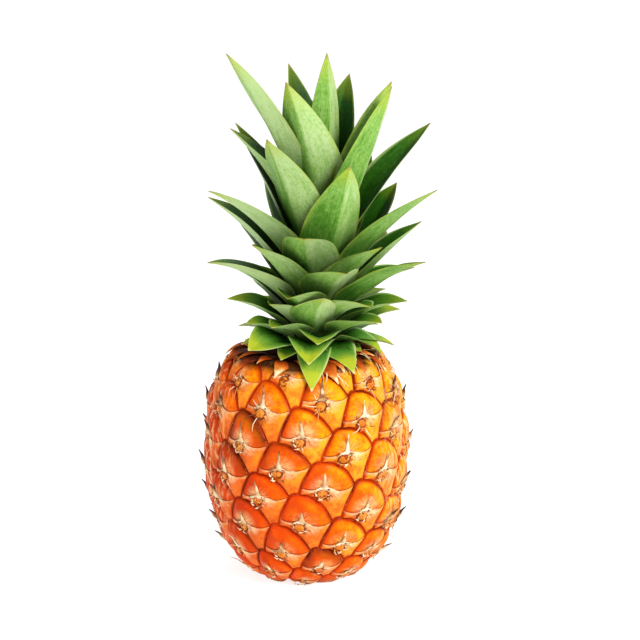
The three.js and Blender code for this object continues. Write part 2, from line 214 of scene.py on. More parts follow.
# How far each point lies inside the crease, and over the cap's lower edge, in millimetres.
inside_crease = (1 - out) * np.hypot(*in_mm(*at_border.T))
rim_share = np.linspace(0, 1, 60)
rim_line = np.concatenate([
    np.stack(in_mm(a * rim_share + drop_a * sag, b * rim_share + drop_b * sag), -1)
    for (a, b), sag in (
        (border[left_corner], RIM_SAG["left"] * 4 * rim_share * (1 - rim_share)),
        (border[right_corner], RIM_SAG["right"] * 4 * rim_share * (1 - rim_share)),
    )
])
over_rim = np.hypot(plan_x - rim_line[:, :1], plan_y - rim_line[:, 1:]).min(0)
over_rim = np.where(on_cap, over_rim, -over_rim)


def join_sheets(name, sheets, faces, notes):
    """One mesh object from copies of a sheet, with a plan UV map and one number a point for each note."""
    count = len(sheets[0])
    points = np.concatenate(sheets) * MM
    all_faces = [[v + count * i for v in face] for i in range(len(sheets)) for face in faces]
    mesh = bpy.data.meshes.new(name)
    mesh.from_pydata(points, [], all_faces)
    for note, values in notes.items():
        values = np.asarray(values, np.float32)
        if values.ndim == 2:
            corners = np.array([loop.vertex_index for loop in mesh.loops])
            layer = mesh.uv_layers.new(name=note)
            layer.data.foreach_set("uv", values[corners].ravel())
        else:
            mesh.attributes.new(note, "FLOAT", "POINT").data.foreach_set("value", values)
    piece = bpy.data.objects.new(name, mesh)
    bpy.context.collection.objects.link(piece)
    return piece


def weld(piece, distance=0.00002):
    """Merges the points that copies share and turns every face outwards."""
    bpy.ops.object.select_all(action="DESELECT")
    bpy.context.view_layer.objects.active = piece
    piece.select_set(True)
    bpy.ops.object.mode_set(mode="EDIT")
    bpy.ops.mesh.select_all(action="SELECT")
    bpy.ops.mesh.remove_doubles(threshold=distance)
    bpy.ops.mesh.select_all(action="SELECT")
    bpy.ops.mesh.normals_make_consistent(inside=False)
    bpy.ops.object.mode_set(mode="OBJECT")


eyes = np.arange(EYE_COUNT)
fade = np.minimum(1, np.minimum((eyes + 6) / 20, (EYE_COUNT + 6 - eyes) / 20))
sheets = []
for eye in eyes:
    vigour = fade[eye] * (1 + 0.1 * wobble(eye, 11))
    points = on_eye(eye, plan_a, plan_b, rise * vigour * (out < 0.9999))
    points[:, 2] = np.maximum(points[:, 2], 0)
    sheets.append(points)
count = len(sheet)
browning = np.clip(2.2 * wobble(eyes, BROWNING_SALT) - 1.2, 0, 1)
rind = join_sheets("rind", sheets, sheet_faces, {
    "eye_plan": np.tile(np.stack([plan_x, plan_y], -1), (EYE_COUNT, 1)),
    "inside_crease": np.tile(inside_crease, EYE_COUNT),
    "over_rim": np.tile(over_rim, EYE_COUNT),
    "tone": np.repeat(wobble(eyes, 12), count),
    "browning": np.repeat(browning, count),
})
weld(rind)

# The skin runs on over both ends and closes on the fruit's axis, under the crown and the stalk.
bpy.ops.object.mode_set(mode="EDIT")
bpy.ops.mesh.select_all(action="DESELECT")
bpy.ops.mesh.select_mode(type="EDGE")
bpy.ops.mesh.select_non_manifold(extend=False, use_wire=False, use_multi_face=False,
                                 use_non_contiguous=False, use_verts=False)
bpy.ops.mesh.fill_holes(sides=0)
bpy.ops.mesh.select_mode(type="FACE")
bpy.ops.mesh.poke()
bpy.ops.mesh.select_all(action="SELECT")
bpy.ops.mesh.normals_make_consistent(inside=False)
bpy.ops.object.mode_set(mode="OBJECT")
bpy.ops.object.shade_smooth_by_angle(angle=math.radians(50))


def hue(code):
    """A colour of the sRGB scale as linear red, green, blue and alpha."""
    parts = [int(code[i:i + 2], 16) / 255 for i in (1, 3, 5)]
    return (*[c / 12.92 if c <= 0.04045 else ((c + 0.055) / 1.055) ** 2.4 for c in parts], 1.0)


def add(tree, kind, inputs=None, stops=None, **settings):
    """Adds a node. Inputs are numbers, hex colours or other nodes' outputs, and stops a ramp's."""
    node = tree.nodes.new(kind)
    for name, value in settings.items():
        setattr(node, name, value)
    for socket, value in (inputs or {}).items():
        if isinstance(value, bpy.types.NodeSocket):
            tree.links.new(value, node.inputs[socket])
        else:
            node.inputs[socket].default_value = hue(value) if isinstance(value, str) else value
    if stops:
        points = node.color_ramp.elements
        while len(points) < len(stops):
            points.new(0.5)
        for point, (place, colour) in zip(points, stops):
            point.position = place
            point.color = hue(colour)
    return node


# Waxy fruit skin: swollen cells full of yellow and red pigment under a clear cuticle. It deepens
# to red in the creases, partly as painted shade, is pale and streaked round each spine and browns with age.
def waxy_rind():
    material = bpy.data.materials.new("waxy_pineapple_rind")
    material.use_nodes = True
    tree = material.node_tree
    shader = tree.nodes["Principled BSDF"]
    plan = add(tree, "ShaderNodeUVMap", uv_map="eye_plan").outputs[0]
    place = add(tree, "ShaderNodeTexCoord").outputs["Object"]
    crease, rim, tone, browning = [
        add(tree, "ShaderNodeAttribute", attribute_name=name).outputs["Fac"]
        for name in ("inside_crease", "over_rim", "tone", "browning")
    ]
    across = add(tree, "ShaderNodeSeparateXYZ", {0: plan})
    where = add(tree, "ShaderNodeSeparateXYZ", {0: place})
    from_spine = add(tree, "ShaderNodeVectorMath", {0: plan}, operation="LENGTH").outputs["Value"]
    bearing = add(tree, "ShaderNodeMath", {0: across.outputs[1], 1: across.outputs[0]},
                  operation="ARCTAN2").outputs[0]
    # Fibres that run out from the spine, and blotches of two sizes.
    fan = add(tree, "ShaderNodeCombineXYZ", {0: bearing, 1: from_spine, 2: tone}).outputs[0]
    fan = add(tree, "ShaderNodeVectorMath", {0: fan, 1: (6.5, 0.12, 9)}, operation="MULTIPLY").outputs[0]
    fibres = add(tree, "ShaderNodeTexNoise", {"Vector": fan, "Scale": 1.6, "Detail": 4}).outputs["Fac"]
    blotches = add(tree, "ShaderNodeTexNoise",
                   {"Vector": place, "Scale": 170, "Detail": 4, "Roughness": 0.6}).outputs["Fac"]
    fields = add(tree, "ShaderNodeTexNoise", {"Vector": place, "Scale": 45, "Detail": 1}).outputs["Fac"]
    specks = add(tree, "ShaderNodeTexNoise",
                 {"Vector": place, "Scale": 520, "Detail": 4, "Roughness": 0.65}).outputs["Fac"]
    on_cap = add(tree, "ShaderNodeMapRange", {0: rim, 1: -0.15, 2: 0.15}).outputs[0]
    # Ripeness runs from yellow at 0 to red at 1: redder low down and round the waist. It is also redder to the left
    # of the fruit and of each eye, as painted shade away from the key light.
    waist = add(tree, "ShaderNodeMath", {0: where.outputs[2], 1: 0.062}, operation="SUBTRACT").outputs[0]
    waist = add(tree, "ShaderNodeMath", {0: waist}, operation="ABSOLUTE").outputs[0]
    waist = add(tree, "ShaderNodeMapRange", {0: waist, 1: 0.045, 2: 0.0},
                interpolation_type="SMOOTHSTEP").outputs[0]
    ripeness_and_shade = add(tree, "ShaderNodeMath", {0: where.outputs[0], 1: -9.5, 2: -0.18},
                   operation="MULTIPLY_ADD").outputs[0]
    for output, weight in ((where.outputs[2], -4.0), (fields, 0.6), (blotches, 0.95), (tone, 0.1),
                           (across.outputs[0], -0.012), (on_cap, 0.08), (waist, 0.16)):
        ripeness_and_shade = add(tree, "ShaderNodeMath", {0: output, 1: weight, 2: ripeness_and_shade},
                       operation="MULTIPLY_ADD").outputs[0]
    flesh = add(tree, "ShaderNodeValToRGB", {0: ripeness_and_shade}, stops=[
        (0, "#F5A80E"), (0.25, "#F08800"), (0.5, "#E86400"), (0.75, "#DC4600"), (1, "#C63000"),
    ]).outputs[0]
    # Close round the spine the flesh is straw-pale, in rays and soft patches.
    near = add(tree, "ShaderNodeMapRange", {0: from_spine, 1: 7.0, 2: 1.0},
               interpolation_type="SMOOTHSTEP").outputs[0]
    rays = add(tree, "ShaderNodeMapRange", {0: fibres, 1: 0.46, 2: 0.58}).outputs[0]
    pale = add(tree, "ShaderNodeMath", {0: near, 1: rays}, operation="MULTIPLY").outputs[0]
    flesh = add(tree, "ShaderNodeMix", {0: pale, 6: flesh, 7: "#EFBA76"},
                data_type="RGBA").outputs[2]
    patch = add(tree, "ShaderNodeMath", {0: blotches, 1: 0.7, 2: fields}, operation="MULTIPLY_ADD").outputs[0]
    patch = add(tree, "ShaderNodeMapRange", {0: patch, 1: 0.82, 2: 0.91, 3: 0.0, 4: 0.7}).outputs[0]
    about = add(tree, "ShaderNodeMapRange", {0: from_spine, 1: 8.5, 2: 3.5}).outputs[0]
    patch = add(tree, "ShaderNodeMath", {0: patch, 1: about}, operation="MULTIPLY").outputs[0]
    flesh = add(tree, "ShaderNodeMix", {0: patch, 6: flesh, 7: "#F0C282"}, data_type="RGBA").outputs[2]
    # The bract's own flesh is paler, streaked with cream to the right of the flower's button.
    cream_middle = add(tree, "ShaderNodeVectorMath", {0: plan, 1: (4.6, 3.6, 0)},
                       operation="DISTANCE").outputs["Value"]
    cream = add(tree, "ShaderNodeMapRange", {0: cream_middle, 1: 5.6, 2: 0.6, 3: 0.0, 4: 0.85}).outputs[0]
    cream_rays = add(tree, "ShaderNodeMapRange", {0: fibres, 1: 0.38, 2: 0.6, 3: 0.35, 4: 1.0}).outputs[0]
    cream = add(tree, "ShaderNodeMath", {0: cream, 1: cream_rays}, operation="MULTIPLY").outputs[0]
    bract = add(tree, "ShaderNodeMix", {0: 0.25, 6: flesh, 7: "#EFA046"}, data_type="RGBA").outputs[2]
    bract = add(tree, "ShaderNodeMix", {0: cream, 6: bract, 7: "#F3D4A2"}, data_type="RGBA").outputs[2]
    flesh = add(tree, "ShaderNodeMix", {0: on_cap, 6: bract, 7: flesh}, data_type="RGBA").outputs[2]
    # Redder fibres run out from the spine through the flesh.
    streak = add(tree, "ShaderNodeMapRange", {0: fibres, 1: 0.5, 2: 0.38, 3: 0.0, 4: 0.55}).outputs[0]
    streak_zone = add(tree, "ShaderNodeMapRange", {0: from_spine, 1: 11.0, 2: 6.0}).outputs[0]
    streak = add(tree, "ShaderNodeMath", {0: streak, 1: streak_zone}, operation="MULTIPLY").outputs[0]
    flesh = add(tree, "ShaderNodeMix", {0: streak, 6: flesh, 7: "#D85004"}, data_type="RGBA").outputs[2]
    # Red gathers towards the crease, wide on the cap and narrow on the bract, reaching further on the fruit's left
    # as painted shade; its dark bottom is partly deep red and partly painted shade.
    cap_reach_left_shade = add(tree, "ShaderNodeMapRange", {0: where.outputs[0], 1: -0.03, 2: 0.035, 3: 3.9, 4: 2.6}).outputs[0]
    reach = add(tree, "ShaderNodeMapRange", {0: on_cap, 3: 2.2, 4: cap_reach_left_shade}).outputs[0]
    reddening = add(tree, "ShaderNodeMapRange", {0: crease, 1: reach, 2: 0.5, 3: 0.0, 4: 0.85},
                    interpolation_type="SMOOTHSTEP").outputs[0]
    flesh = add(tree, "ShaderNodeMix", {0: reddening, 6: flesh, 7: "#CE3800"}, data_type="RGBA").outputs[2]
    # Painted shade together with the crease's own deep red: the bottom of the crease is darkened.
    depth = add(tree, "ShaderNodeMapRange", {0: crease, 1: 1.3, 2: 0.4, 3: 0.0, 4: 0.85}).outputs[0]
    flesh = add(tree, "ShaderNodeMix", {0: depth, 6: flesh, 7: "#A62200"}, data_type="RGBA").outputs[2]
    scorch = add(tree, "ShaderNodeMapRange", {0: fields, 1: 0.52, 2: 0.66, 3: 0.0, 4: 0.75}).outputs[0]
    scorch_zone = add(tree, "ShaderNodeMapRange", {0: crease, 1: 1.5, 2: 0.3}).outputs[0]
    scorch = add(tree, "ShaderNodeMath", {0: scorch, 1: scorch_zone}, operation="MULTIPLY").outputs[0]
    flesh = add(tree, "ShaderNodeMix", {0: scorch, 6: flesh, 7: "#561200"}, data_type="RGBA").outputs[2]
    # A dark line of painted shadow where the cap slips under the bract, and the bract's own thin dry rim.
    rim_shadow = add(tree, "ShaderNodeMapRange", {0: rim, 1: 0.9, 2: 0.15}).outputs[0]
    rim_shadow = add(tree, "ShaderNodeMath", {0: rim_shadow, 1: on_cap}, operation="MULTIPLY").outputs[0]
    flesh = add(tree, "ShaderNodeMix", {0: rim_shadow, 6: flesh, 7: "#8C2602"}, data_type="RGBA").outputs[2]
    dry = add(tree, "ShaderNodeMath", {0: fibres, 1: -3.0, 2: rim}, operation="MULTIPLY_ADD").outputs[0]
    dry = add(tree, "ShaderNodeMapRange", {0: dry, 1: -3.2, 2: -1.9}).outputs[0]
    off_cap = add(tree, "ShaderNodeMath", {0: 1.0, 1: on_cap}, operation="SUBTRACT").outputs[0]
    dry = add(tree, "ShaderNodeMath", {0: dry, 1: off_cap}, operation="MULTIPLY").outputs[0]
    fading = add(tree, "ShaderNodeMapRange", {0: from_spine, 1: 3.0, 2: 11.0, 3: 0.85, 4: 0.25}).outputs[0]
    dry = add(tree, "ShaderNodeMath", {0: dry, 1: fading}, operation="MULTIPLY").outputs[0]
    flesh = add(tree, "ShaderNodeMix", {0: dry, 6: flesh, 7: "#F6D6A4"}, data_type="RGBA").outputs[2]
    # A dark spot of painted shade stands for the cleft that opens to the right of the spine's foot.
    cleft_shade_middle = add(tree, "ShaderNodeVectorMath", {0: plan, 1: (1.3, 0.9, 0)},
                       operation="DISTANCE").outputs["Value"]
    cleft_shade = add(tree, "ShaderNodeMapRange", {0: cleft_shade_middle, 1: 1.6, 2: 0.7, 3: 0.0, 4: 0.95}).outputs[0]
    flesh = add(tree, "ShaderNodeMix", {0: cleft_shade, 6: flesh, 7: "#4A1404"}, data_type="RGBA").outputs[2]
    # The withered flower under the spine: an orange button in a broken brown ring.
    from_button = add(tree, "ShaderNodeVectorMath", {0: plan, 1: (BUTTON["x"], BUTTON["y"], 0)},
                      operation="DISTANCE").outputs["Value"]
    button = add(tree, "ShaderNodeMapRange", {0: from_button, 1: BUTTON["radius"], 2: BUTTON["radius"] - 0.5,
                                              3: 0.0, 4: 0.8}).outputs[0]
    button = add(tree, "ShaderNodeMath", {0: button, 1: off_cap}, operation="MULTIPLY").outputs[0]
    petal = add(tree, "ShaderNodeValToRGB", {0: specks}, stops=[
        (0.36, "#B0520E"), (0.5, "#EA9226"), (0.66, "#F6C880"),
    ]).outputs[0]
    flesh = add(tree, "ShaderNodeMix", {0: button, 6: flesh, 7: petal}, data_type="RGBA").outputs[2]
    ring = add(tree, "ShaderNodeMath", {0: from_button, 1: BUTTON["radius"] + 0.25},
               operation="SUBTRACT").outputs[0]
    ring = add(tree, "ShaderNodeMath", {0: ring}, operation="ABSOLUTE").outputs[0]
    ring = add(tree, "ShaderNodeMapRange", {0: ring, 1: 0.7, 2: 0.2}).outputs[0]
    broken = add(tree, "ShaderNodeMapRange", {0: blotches, 1: 0.42, 2: 0.5}).outputs[0]
    ring = add(tree, "ShaderNodeMath", {0: ring, 1: broken}, operation="MULTIPLY").outputs[0]
    ring = add(tree, "ShaderNodeMath", {0: ring, 1: off_cap}, operation="MULTIPLY").outputs[0]
    flesh = add(tree, "ShaderNodeMix", {0: ring, 6: flesh, 7: "#5A1E06"}, data_type="RGBA").outputs[2]
    # Brown specks round the dead flower, and whole eyes that have begun to brown in from their creases.
    speck_zone = add(tree, "ShaderNodeMapRange", {0: from_button, 1: 6.5, 2: 3.0}).outputs[0]
    speck = add(tree, "ShaderNodeMapRange", {0: specks, 1: 0.52, 2: 0.57}).outputs[0]
    speck = add(tree, "ShaderNodeMath", {0: speck, 1: speck_zone}, operation="MULTIPLY").outputs[0]
    flesh = add(tree, "ShaderNodeMix", {0: speck, 6: flesh, 7: "#5E2006"}, data_type="RGBA").outputs[2]
    aged = add(tree, "ShaderNodeMapRange", {0: crease, 1: 7.0, 2: 0.0}).outputs[0]
    aged = add(tree, "ShaderNodeMath", {0: aged, 1: browning}, operation="MULTIPLY").outputs[0]
    aged = add(tree, "ShaderNodeMath", {0: aged, 1: on_cap}, operation="MULTIPLY").outputs[0]
    flesh = add(tree, "ShaderNodeMix", {0: aged, 6: flesh, 7: "#4E1E08"}, data_type="RGBA").outputs[2]
    # Torn dry fibres run up and down the fruit's two flanks, pale with brown between them.
    flank = add(tree, "ShaderNodeMath", {0: where.outputs[0]}, operation="ABSOLUTE").outputs[0]
    flank = add(tree, "ShaderNodeMapRange", {0: flank, 1: 0.036, 2: 0.052, 3: 0.0, 4: 0.75}).outputs[0]
    upright = add(tree, "ShaderNodeVectorMath", {0: place, 1: (520, 520, 110)}, operation="MULTIPLY").outputs[0]
    torn = add(tree, "ShaderNodeTexNoise",
               {"Vector": upright, "Scale": 1.0, "Detail": 3, "Distortion": 0.6}).outputs["Fac"]
    between = add(tree, "ShaderNodeMapRange", {0: torn, 1: 0.45, 2: 0.39}).outputs[0]
    between = add(tree, "ShaderNodeMath", {0: between, 1: flank}, operation="MULTIPLY").outputs[0]
    flesh = add(tree, "ShaderNodeMix", {0: between, 6: flesh, 7: "#8E3406"}, data_type="RGBA").outputs[2]
    strands = add(tree, "ShaderNodeMapRange", {0: torn, 1: 0.53, 2: 0.6}).outputs[0]
    strands = add(tree, "ShaderNodeMath", {0: strands, 1: flank}, operation="MULTIPLY").outputs[0]
    flesh = add(tree, "ShaderNodeMix", {0: strands, 6: flesh, 7: "#F0C68C"}, data_type="RGBA").outputs[2]
    # Darker dabs and flecks all over; painted shade darkens the skin under the crown, and at the base the skin is
    # dead and brown.
    dab = add(tree, "ShaderNodeMapRange", {0: blotches, 1: 0.48, 2: 0.66, 3: 0.0, 4: 0.45}).outputs[0]
    flesh = add(tree, "ShaderNodeMix", {0: dab, 6: flesh, 7: "#C84C06"}, data_type="RGBA").outputs[2]
    fleck = add(tree, "ShaderNodeMapRange", {0: specks, 1: 0.54, 2: 0.66, 3: 0.0, 4: 0.5}).outputs[0]
    flesh = add(tree, "ShaderNodeMix", {0: fleck, 6: flesh, 7: "#B8480A"}, data_type="RGBA").outputs[2]
    shaded = add(tree, "ShaderNodeMapRange", {0: where.outputs[2], 1: 0.1195, 2: 0.122, 3: 0.0, 4: 0.94}).outputs[0]
    flesh = add(tree, "ShaderNodeMix", {0: shaded, 6: flesh, 7: "#301004"}, data_type="RGBA").outputs[2]
    resting = add(tree, "ShaderNodeMapRange", {0: where.outputs[2], 1: 0.005, 2: 0.0005, 3: 0.0, 4: 0.75}).outputs[0]
    flesh = add(tree, "ShaderNodeMix", {0: resting, 6: flesh, 7: "#8A5426"}, data_type="RGBA").outputs[2]
    tree.links.new(flesh, shader.inputs["Base Color"])
    relief = add(tree, "ShaderNodeMath", {0: fibres, 1: 0.6, 2: specks}, operation="MULTIPLY_ADD").outputs[0]
    bump = add(tree, "ShaderNodeBump", {"Height": relief, "Strength": 0.55, "Distance": 0.0008})
    tree.links.new(bump.outputs[0], shader.inputs["Normal"])
    matt = add(tree, "ShaderNodeMath", {0: shaded, 1: depth}, operation="MAXIMUM").outputs[0]
    matt = add(tree, "ShaderNodeMapRange", {0: matt, 3: 0.42, 4: 0.95}).outputs[0]
    tree.links.new(matt, shader.inputs["Roughness"])
    shader.inputs["IOR"].default_value = 1.35
    shader.inputs["Specular IOR Level"].default_value = 0.08
    shader.inputs["Coat Weight"].default_value = 0.03
    shader.inputs["Coat Roughness"].default_value = 0.2
    shader.inputs["Subsurface Weight"].default_value = 0.08
    shader.inputs["Subsurface Radius"].default_value = (1.0, 0.35, 0.08)
    shader.inputs["Subsurface Scale"].default_value = 0.003
    return material


rind.data.materials.append(waxy_rind())
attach(rind, "root")
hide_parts("fruit")

# ---------------------------------------------------------------- bract tips
# The tip of each eye's bract, dried to a pale, papery spine that leans up over the cap, with two
# thin wings running down either side of it along the bract's edge.
SPINE_REACH = 9
SPINE_LIFT = 5.4
SPINE_ZONE = (9, 110)
SPINE_STATIONS = 9
WING_STATIONS = 9


def eye_frame(eye):
    """The middle of an eye on the creases' level, and its directions out, across and up."""
    base = on_eye(eye, 0.0, 0.0, 0.0)
    outward = on_eye(eye, 0.0, 0.0, 1.0) - base
    across = np.array([-outward[1], outward[0], 0])
    across /= np.linalg.norm(across)
    return base, outward, across, np.cross(outward, across)


def ribbon(name, stations):
    """A flat, closed strip of the given number of stations, as rings of four points."""
    bpy.ops.object.select_all(action="DESELECT")
    bpy.ops.mesh.primitive_cylinder_add(vertices=4, depth=1, end_fill_type="NGON")
    strip = bpy.context.object
    bpy.ops.object.mode_set(mode="EDIT")
    bpy.ops.mesh.select_all(action="DESELECT")
    bpy.ops.object.mode_set(mode="OBJECT")
    for edge in strip.data.edges:
        ends = [strip.data.vertices[v].co.z for v in edge.vertices]
        edge.select = abs(ends[0] - ends[1]) > 0.5
    bpy.ops.object.mode_set(mode="EDIT")
    bpy.ops.mesh.select_mode(type="EDGE")
    bpy.ops.mesh.subdivide_edgering(number_cuts=stations - 2, interpolation="LINEAR")
    bpy.ops.object.mode_set(mode="OBJECT")
    points = np.array([v.co[:] for v in strip.data.vertices])
    faces = [tuple(p.vertices) for p in strip.data.polygons]
    bpy.data.objects.remove(strip)
    return points[:, :2], points[:, 2] + 0.5, faces


strip_plan, strip_along, strip_faces = ribbon("strip", SPINE_STATIONS)


def bent_strip(route, width, thickness, facing):
    """The strip laid along a route, with its width across and its thickness along facing."""
    steps = np.linspace(0, 1, len(route))
    middle = np.stack([np.interp(strip_along, steps, route[:, i]) for i in range(3)], -1)
    heading = np.gradient(route, axis=0)
    heading /= np.linalg.norm(heading, axis=1)[:, None]
    heading = np.stack([np.interp(strip_along, steps, heading[:, i]) for i in range(3)], -1)
    sideways = np.cross(heading, facing)
    sideways /= np.linalg.norm(sideways, axis=1)[:, None]
    wide = np.interp(strip_along, np.linspace(0, 1, len(width)), width)[:, None]
    thick = np.interp(strip_along, np.linspace(0, 1, len(thickness)), thickness)[:, None]
    return middle + sideways * wide * strip_plan[:, :1] / 2 + facing * thick * strip_plan[:, 1:] / 2


def eye_surface_at(eye, a, b, lift):
    """A point over an eye, a height above its own relief."""
    nearest = np.argmin((plan_a - a) ** 2 + (plan_b - b) ** 2)
    vigour = fade[eye] * (1 + 0.1 * wobble(eye, 11))
    return on_eye(eye, a, b, rise[nearest] * vigour + lift)


tips = []
tip_tones = []
standing = [eye for eye in eyes if SPINE_ZONE[0] < on_eye(eye, 0.0, 0.0, 0.0)[2] < SPINE_ZONE[1]]
for eye in standing:
    base, outward, across, up = eye_frame(eye)
    sway = wobble(eye, 2)
    weathered = ease((abs(outward[0]) - 0.72) / 0.15)
    reach = SPINE_REACH * (1 + 0.2 * wobble(eye, 1)) * (1 - 0.35 * weathered)
    root = base + outward * 1.9 - up * 1.6
    knee = base + outward * 3.2 + up * 1.2
    middle = base + outward * (CAP_HEIGHT + 0.9) + up * reach * 0.55 + across * sway * 0.3
    lift = SPINE_LIFT + 1.6 * max(0, wobble(eye, 16)) * (1 - weathered)
    point = base + outward * lift + up * reach + across * sway
    route = flowing([root, knee, middle, point], SPINE_STATIONS)
    widths = [w * (1 + 0.9 * weathered) for w in (3.8, 3.2, 2.2, 1.5, 1.0, 0.3)]
    thicknesses = [t * (1 + 1.6 * weathered) for t in (1.2, 1.2, 0.8, 0.6, 0.4, 0.15)]
    tips.append(bent_strip(route, widths, thicknesses, outward))
    for side, corner_at, salt in (("left", border[left_corner], 3), ("right", border[right_corner], 4)):
        far = 0.5 + 0.2 * wobble(eye, salt)
        steps = np.linspace(0.02, far, WING_STATIONS)
        sag = RIM_SAG[side] * 4 * steps * (1 - steps)
        route = np.stack([
            eye_surface_at(eye, corner_at[0] * s + d * drop_a, corner_at[1] * s + d * drop_b, 0.22)
            for s, d in zip(steps, sag)
        ])
        broad = 1.25 if side == "right" else 0.9
        widths = [broad * w for w in (2.6, 2.1, 1.4, 0.8, 0.2)]
        tips.append(bent_strip(route, widths, (1.0, 0.8, 0.5, 0.2), outward))
    tip_tones += [wobble(eye, 5) + 1.5 * weathered] * 3
bract_tips = join_sheets("bract_tips", tips, strip_faces, {
    "along": np.tile(strip_along, len(tips)),
    "tone": np.repeat(tip_tones, len(strip_along)),
})
weld(bract_tips, 0.000001)
bpy.ops.object.shade_smooth()


# Dry papery plant tissue: straw to cream, matt, browner where it is oldest.
def dry_bract():
    material = bpy.data.materials.new("dry_papery_bract")
    material.use_nodes = True
    tree = material.node_tree
    shader = tree.nodes["Principled BSDF"]
    place = add(tree, "ShaderNodeTexCoord").outputs["Object"]
    tone = add(tree, "ShaderNodeAttribute", attribute_name="tone").outputs["Fac"]
    along = add(tree, "ShaderNodeAttribute", attribute_name="along").outputs["Fac"]
    stain = add(tree, "ShaderNodeTexNoise", {"Vector": place, "Scale": 260, "Detail": 3}).outputs["Fac"]
    age = add(tree, "ShaderNodeMath", {0: tone, 1: 0.1, 2: stain}, operation="MULTIPLY_ADD").outputs[0]
    age = add(tree, "ShaderNodeMath", {0: along, 1: 0.1, 2: age}, operation="MULTIPLY_ADD").outputs[0]
    colour = add(tree, "ShaderNodeValToRGB", {0: age}, stops=[
        (0.36, "#F0DEBE"), (0.54, "#E6C698"), (0.68, "#BC8650"), (0.84, "#6A3414"),
    ]).outputs[0]
    oldest = add(tree, "ShaderNodeMapRange", {0: tone, 1: 0.8, 2: 1.6, 3: 0.0, 4: 0.35}).outputs[0]
    scorched = add(tree, "ShaderNodeMath", {0: along, 1: oldest}, operation="ADD").outputs[0]
    scorched = add(tree, "ShaderNodeMapRange", {0: scorched, 1: 0.62, 2: 0.92}).outputs[0]
    kept = add(tree, "ShaderNodeMapRange", {0: tone, 1: 0.1, 2: 0.6}).outputs[0]
    scorched = add(tree, "ShaderNodeMath", {0: scorched, 1: kept}, operation="MULTIPLY").outputs[0]
    colour = add(tree, "ShaderNodeMix", {0: scorched, 6: colour, 7: "#4A1E0A"}, data_type="RGBA").outputs[2]
    tree.links.new(colour, shader.inputs["Base Color"])
    bump = add(tree, "ShaderNodeBump", {"Height": stain, "Strength": 0.4, "Distance": 0.0003})
    tree.links.new(bump.outputs[0], shader.inputs["Normal"])
    shader.inputs["Roughness"].default_value = 0.7
    return material


bract_tips.data.materials.append(dry_bract())
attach(bract_tips, "root")

# ---------------------------------------------------------------- flower remains
# Thin brown threads round each eye's button: the withered ends of the flower that it grew from.
THREADS = 11
THREAD_STATIONS = 5
strip_plan, strip_along, strip_faces = ribbon("thread", THREAD_STATIONS)
threads = []
thread_tones = []
for eye in eyes:
    base, outward, across, up = eye_frame(eye)
    if not 4 < base[2] < 116:
        continue
    centre = base + across * BUTTON["x"] - up * BUTTON["y"] + outward * 1.6
    for number in range(THREADS):
        key = eye * 17 + number
        bearing = number * 360 / THREADS + 16 * wobble(key, 6)
        turn = math.radians(bearing)
        # The broadest shreds are the dead petals, which hug the button's lower side.
        petal = 60 < bearing < 210 and base[2] < 98
        spoke = across * math.cos(turn) - up * math.sin(turn)
        start = centre + spoke * (2.5 + 0.5 * wobble(key, 15))
        length = (1.8 + 1.4 * wobble(key, 7)) * (1 + 1.3 * (base[2] > 98) + 0.6 * (abs(outward[0]) > 0.75))
        aside = 2.2 * np.sign(wobble(key, 8)) if petal else 1.8 * wobble(key, 8)
        turned_aside = np.cross(outward, spoke) * aside
        length *= 0.35 if petal else 1
        end = start + spoke * length + turned_aside + outward * (0.1 + 0.4 * wobble(key, 9))
        bend = (start + end) / 2 + outward * 0.5 - turned_aside * 0.4
        route = flowing([start, bend, end], THREAD_STATIONS)
        route[:, 2] = np.maximum(route[:, 2], 0.3)
        broad = 1.0 + 0.9 * petal
        threads.append(bent_strip(route, (0.6 * broad, 0.45 * broad, 0.18), (0.4, 0.3, 0.12), outward))
        thread_tones.append(wobble(key, 10) + 0.6 * petal)
flower_threads = join_sheets("flower_threads", threads, strip_faces, {
    "tone": np.repeat(thread_tones, len(strip_along)),
})
weld(flower_threads, 0.000001)
bpy.ops.object.shade_smooth()


# Withered petals and stigmas: thin, brown to straw, matt.
def withered_thread():
    material = bpy.data.materials.new("withered_flower_thread")
    material.use_nodes = True
    tree = material.node_tree
    shader = tree.nodes["Principled BSDF"]
    tone = add(tree, "ShaderNodeAttribute", attribute_name="tone").outputs["Fac"]
    age = add(tree, "ShaderNodeMapRange", {0: tone, 1: -1, 2: 1}).outputs[0]
    colour = add(tree, "ShaderNodeValToRGB", {0: age}, stops=[
        (0.1, "#4A1E08"), (0.35, "#8A4416"), (0.55, "#D89A58"), (0.8, "#F4DEB4"),
    ]).outputs[0]
    tree.links.new(colour, shader.inputs["Base Color"])
    shader.inputs["Roughness"].default_value = 0.75
    return material


flower_threads.data.materials.append(withered_thread())
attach(flower_threads, "root")

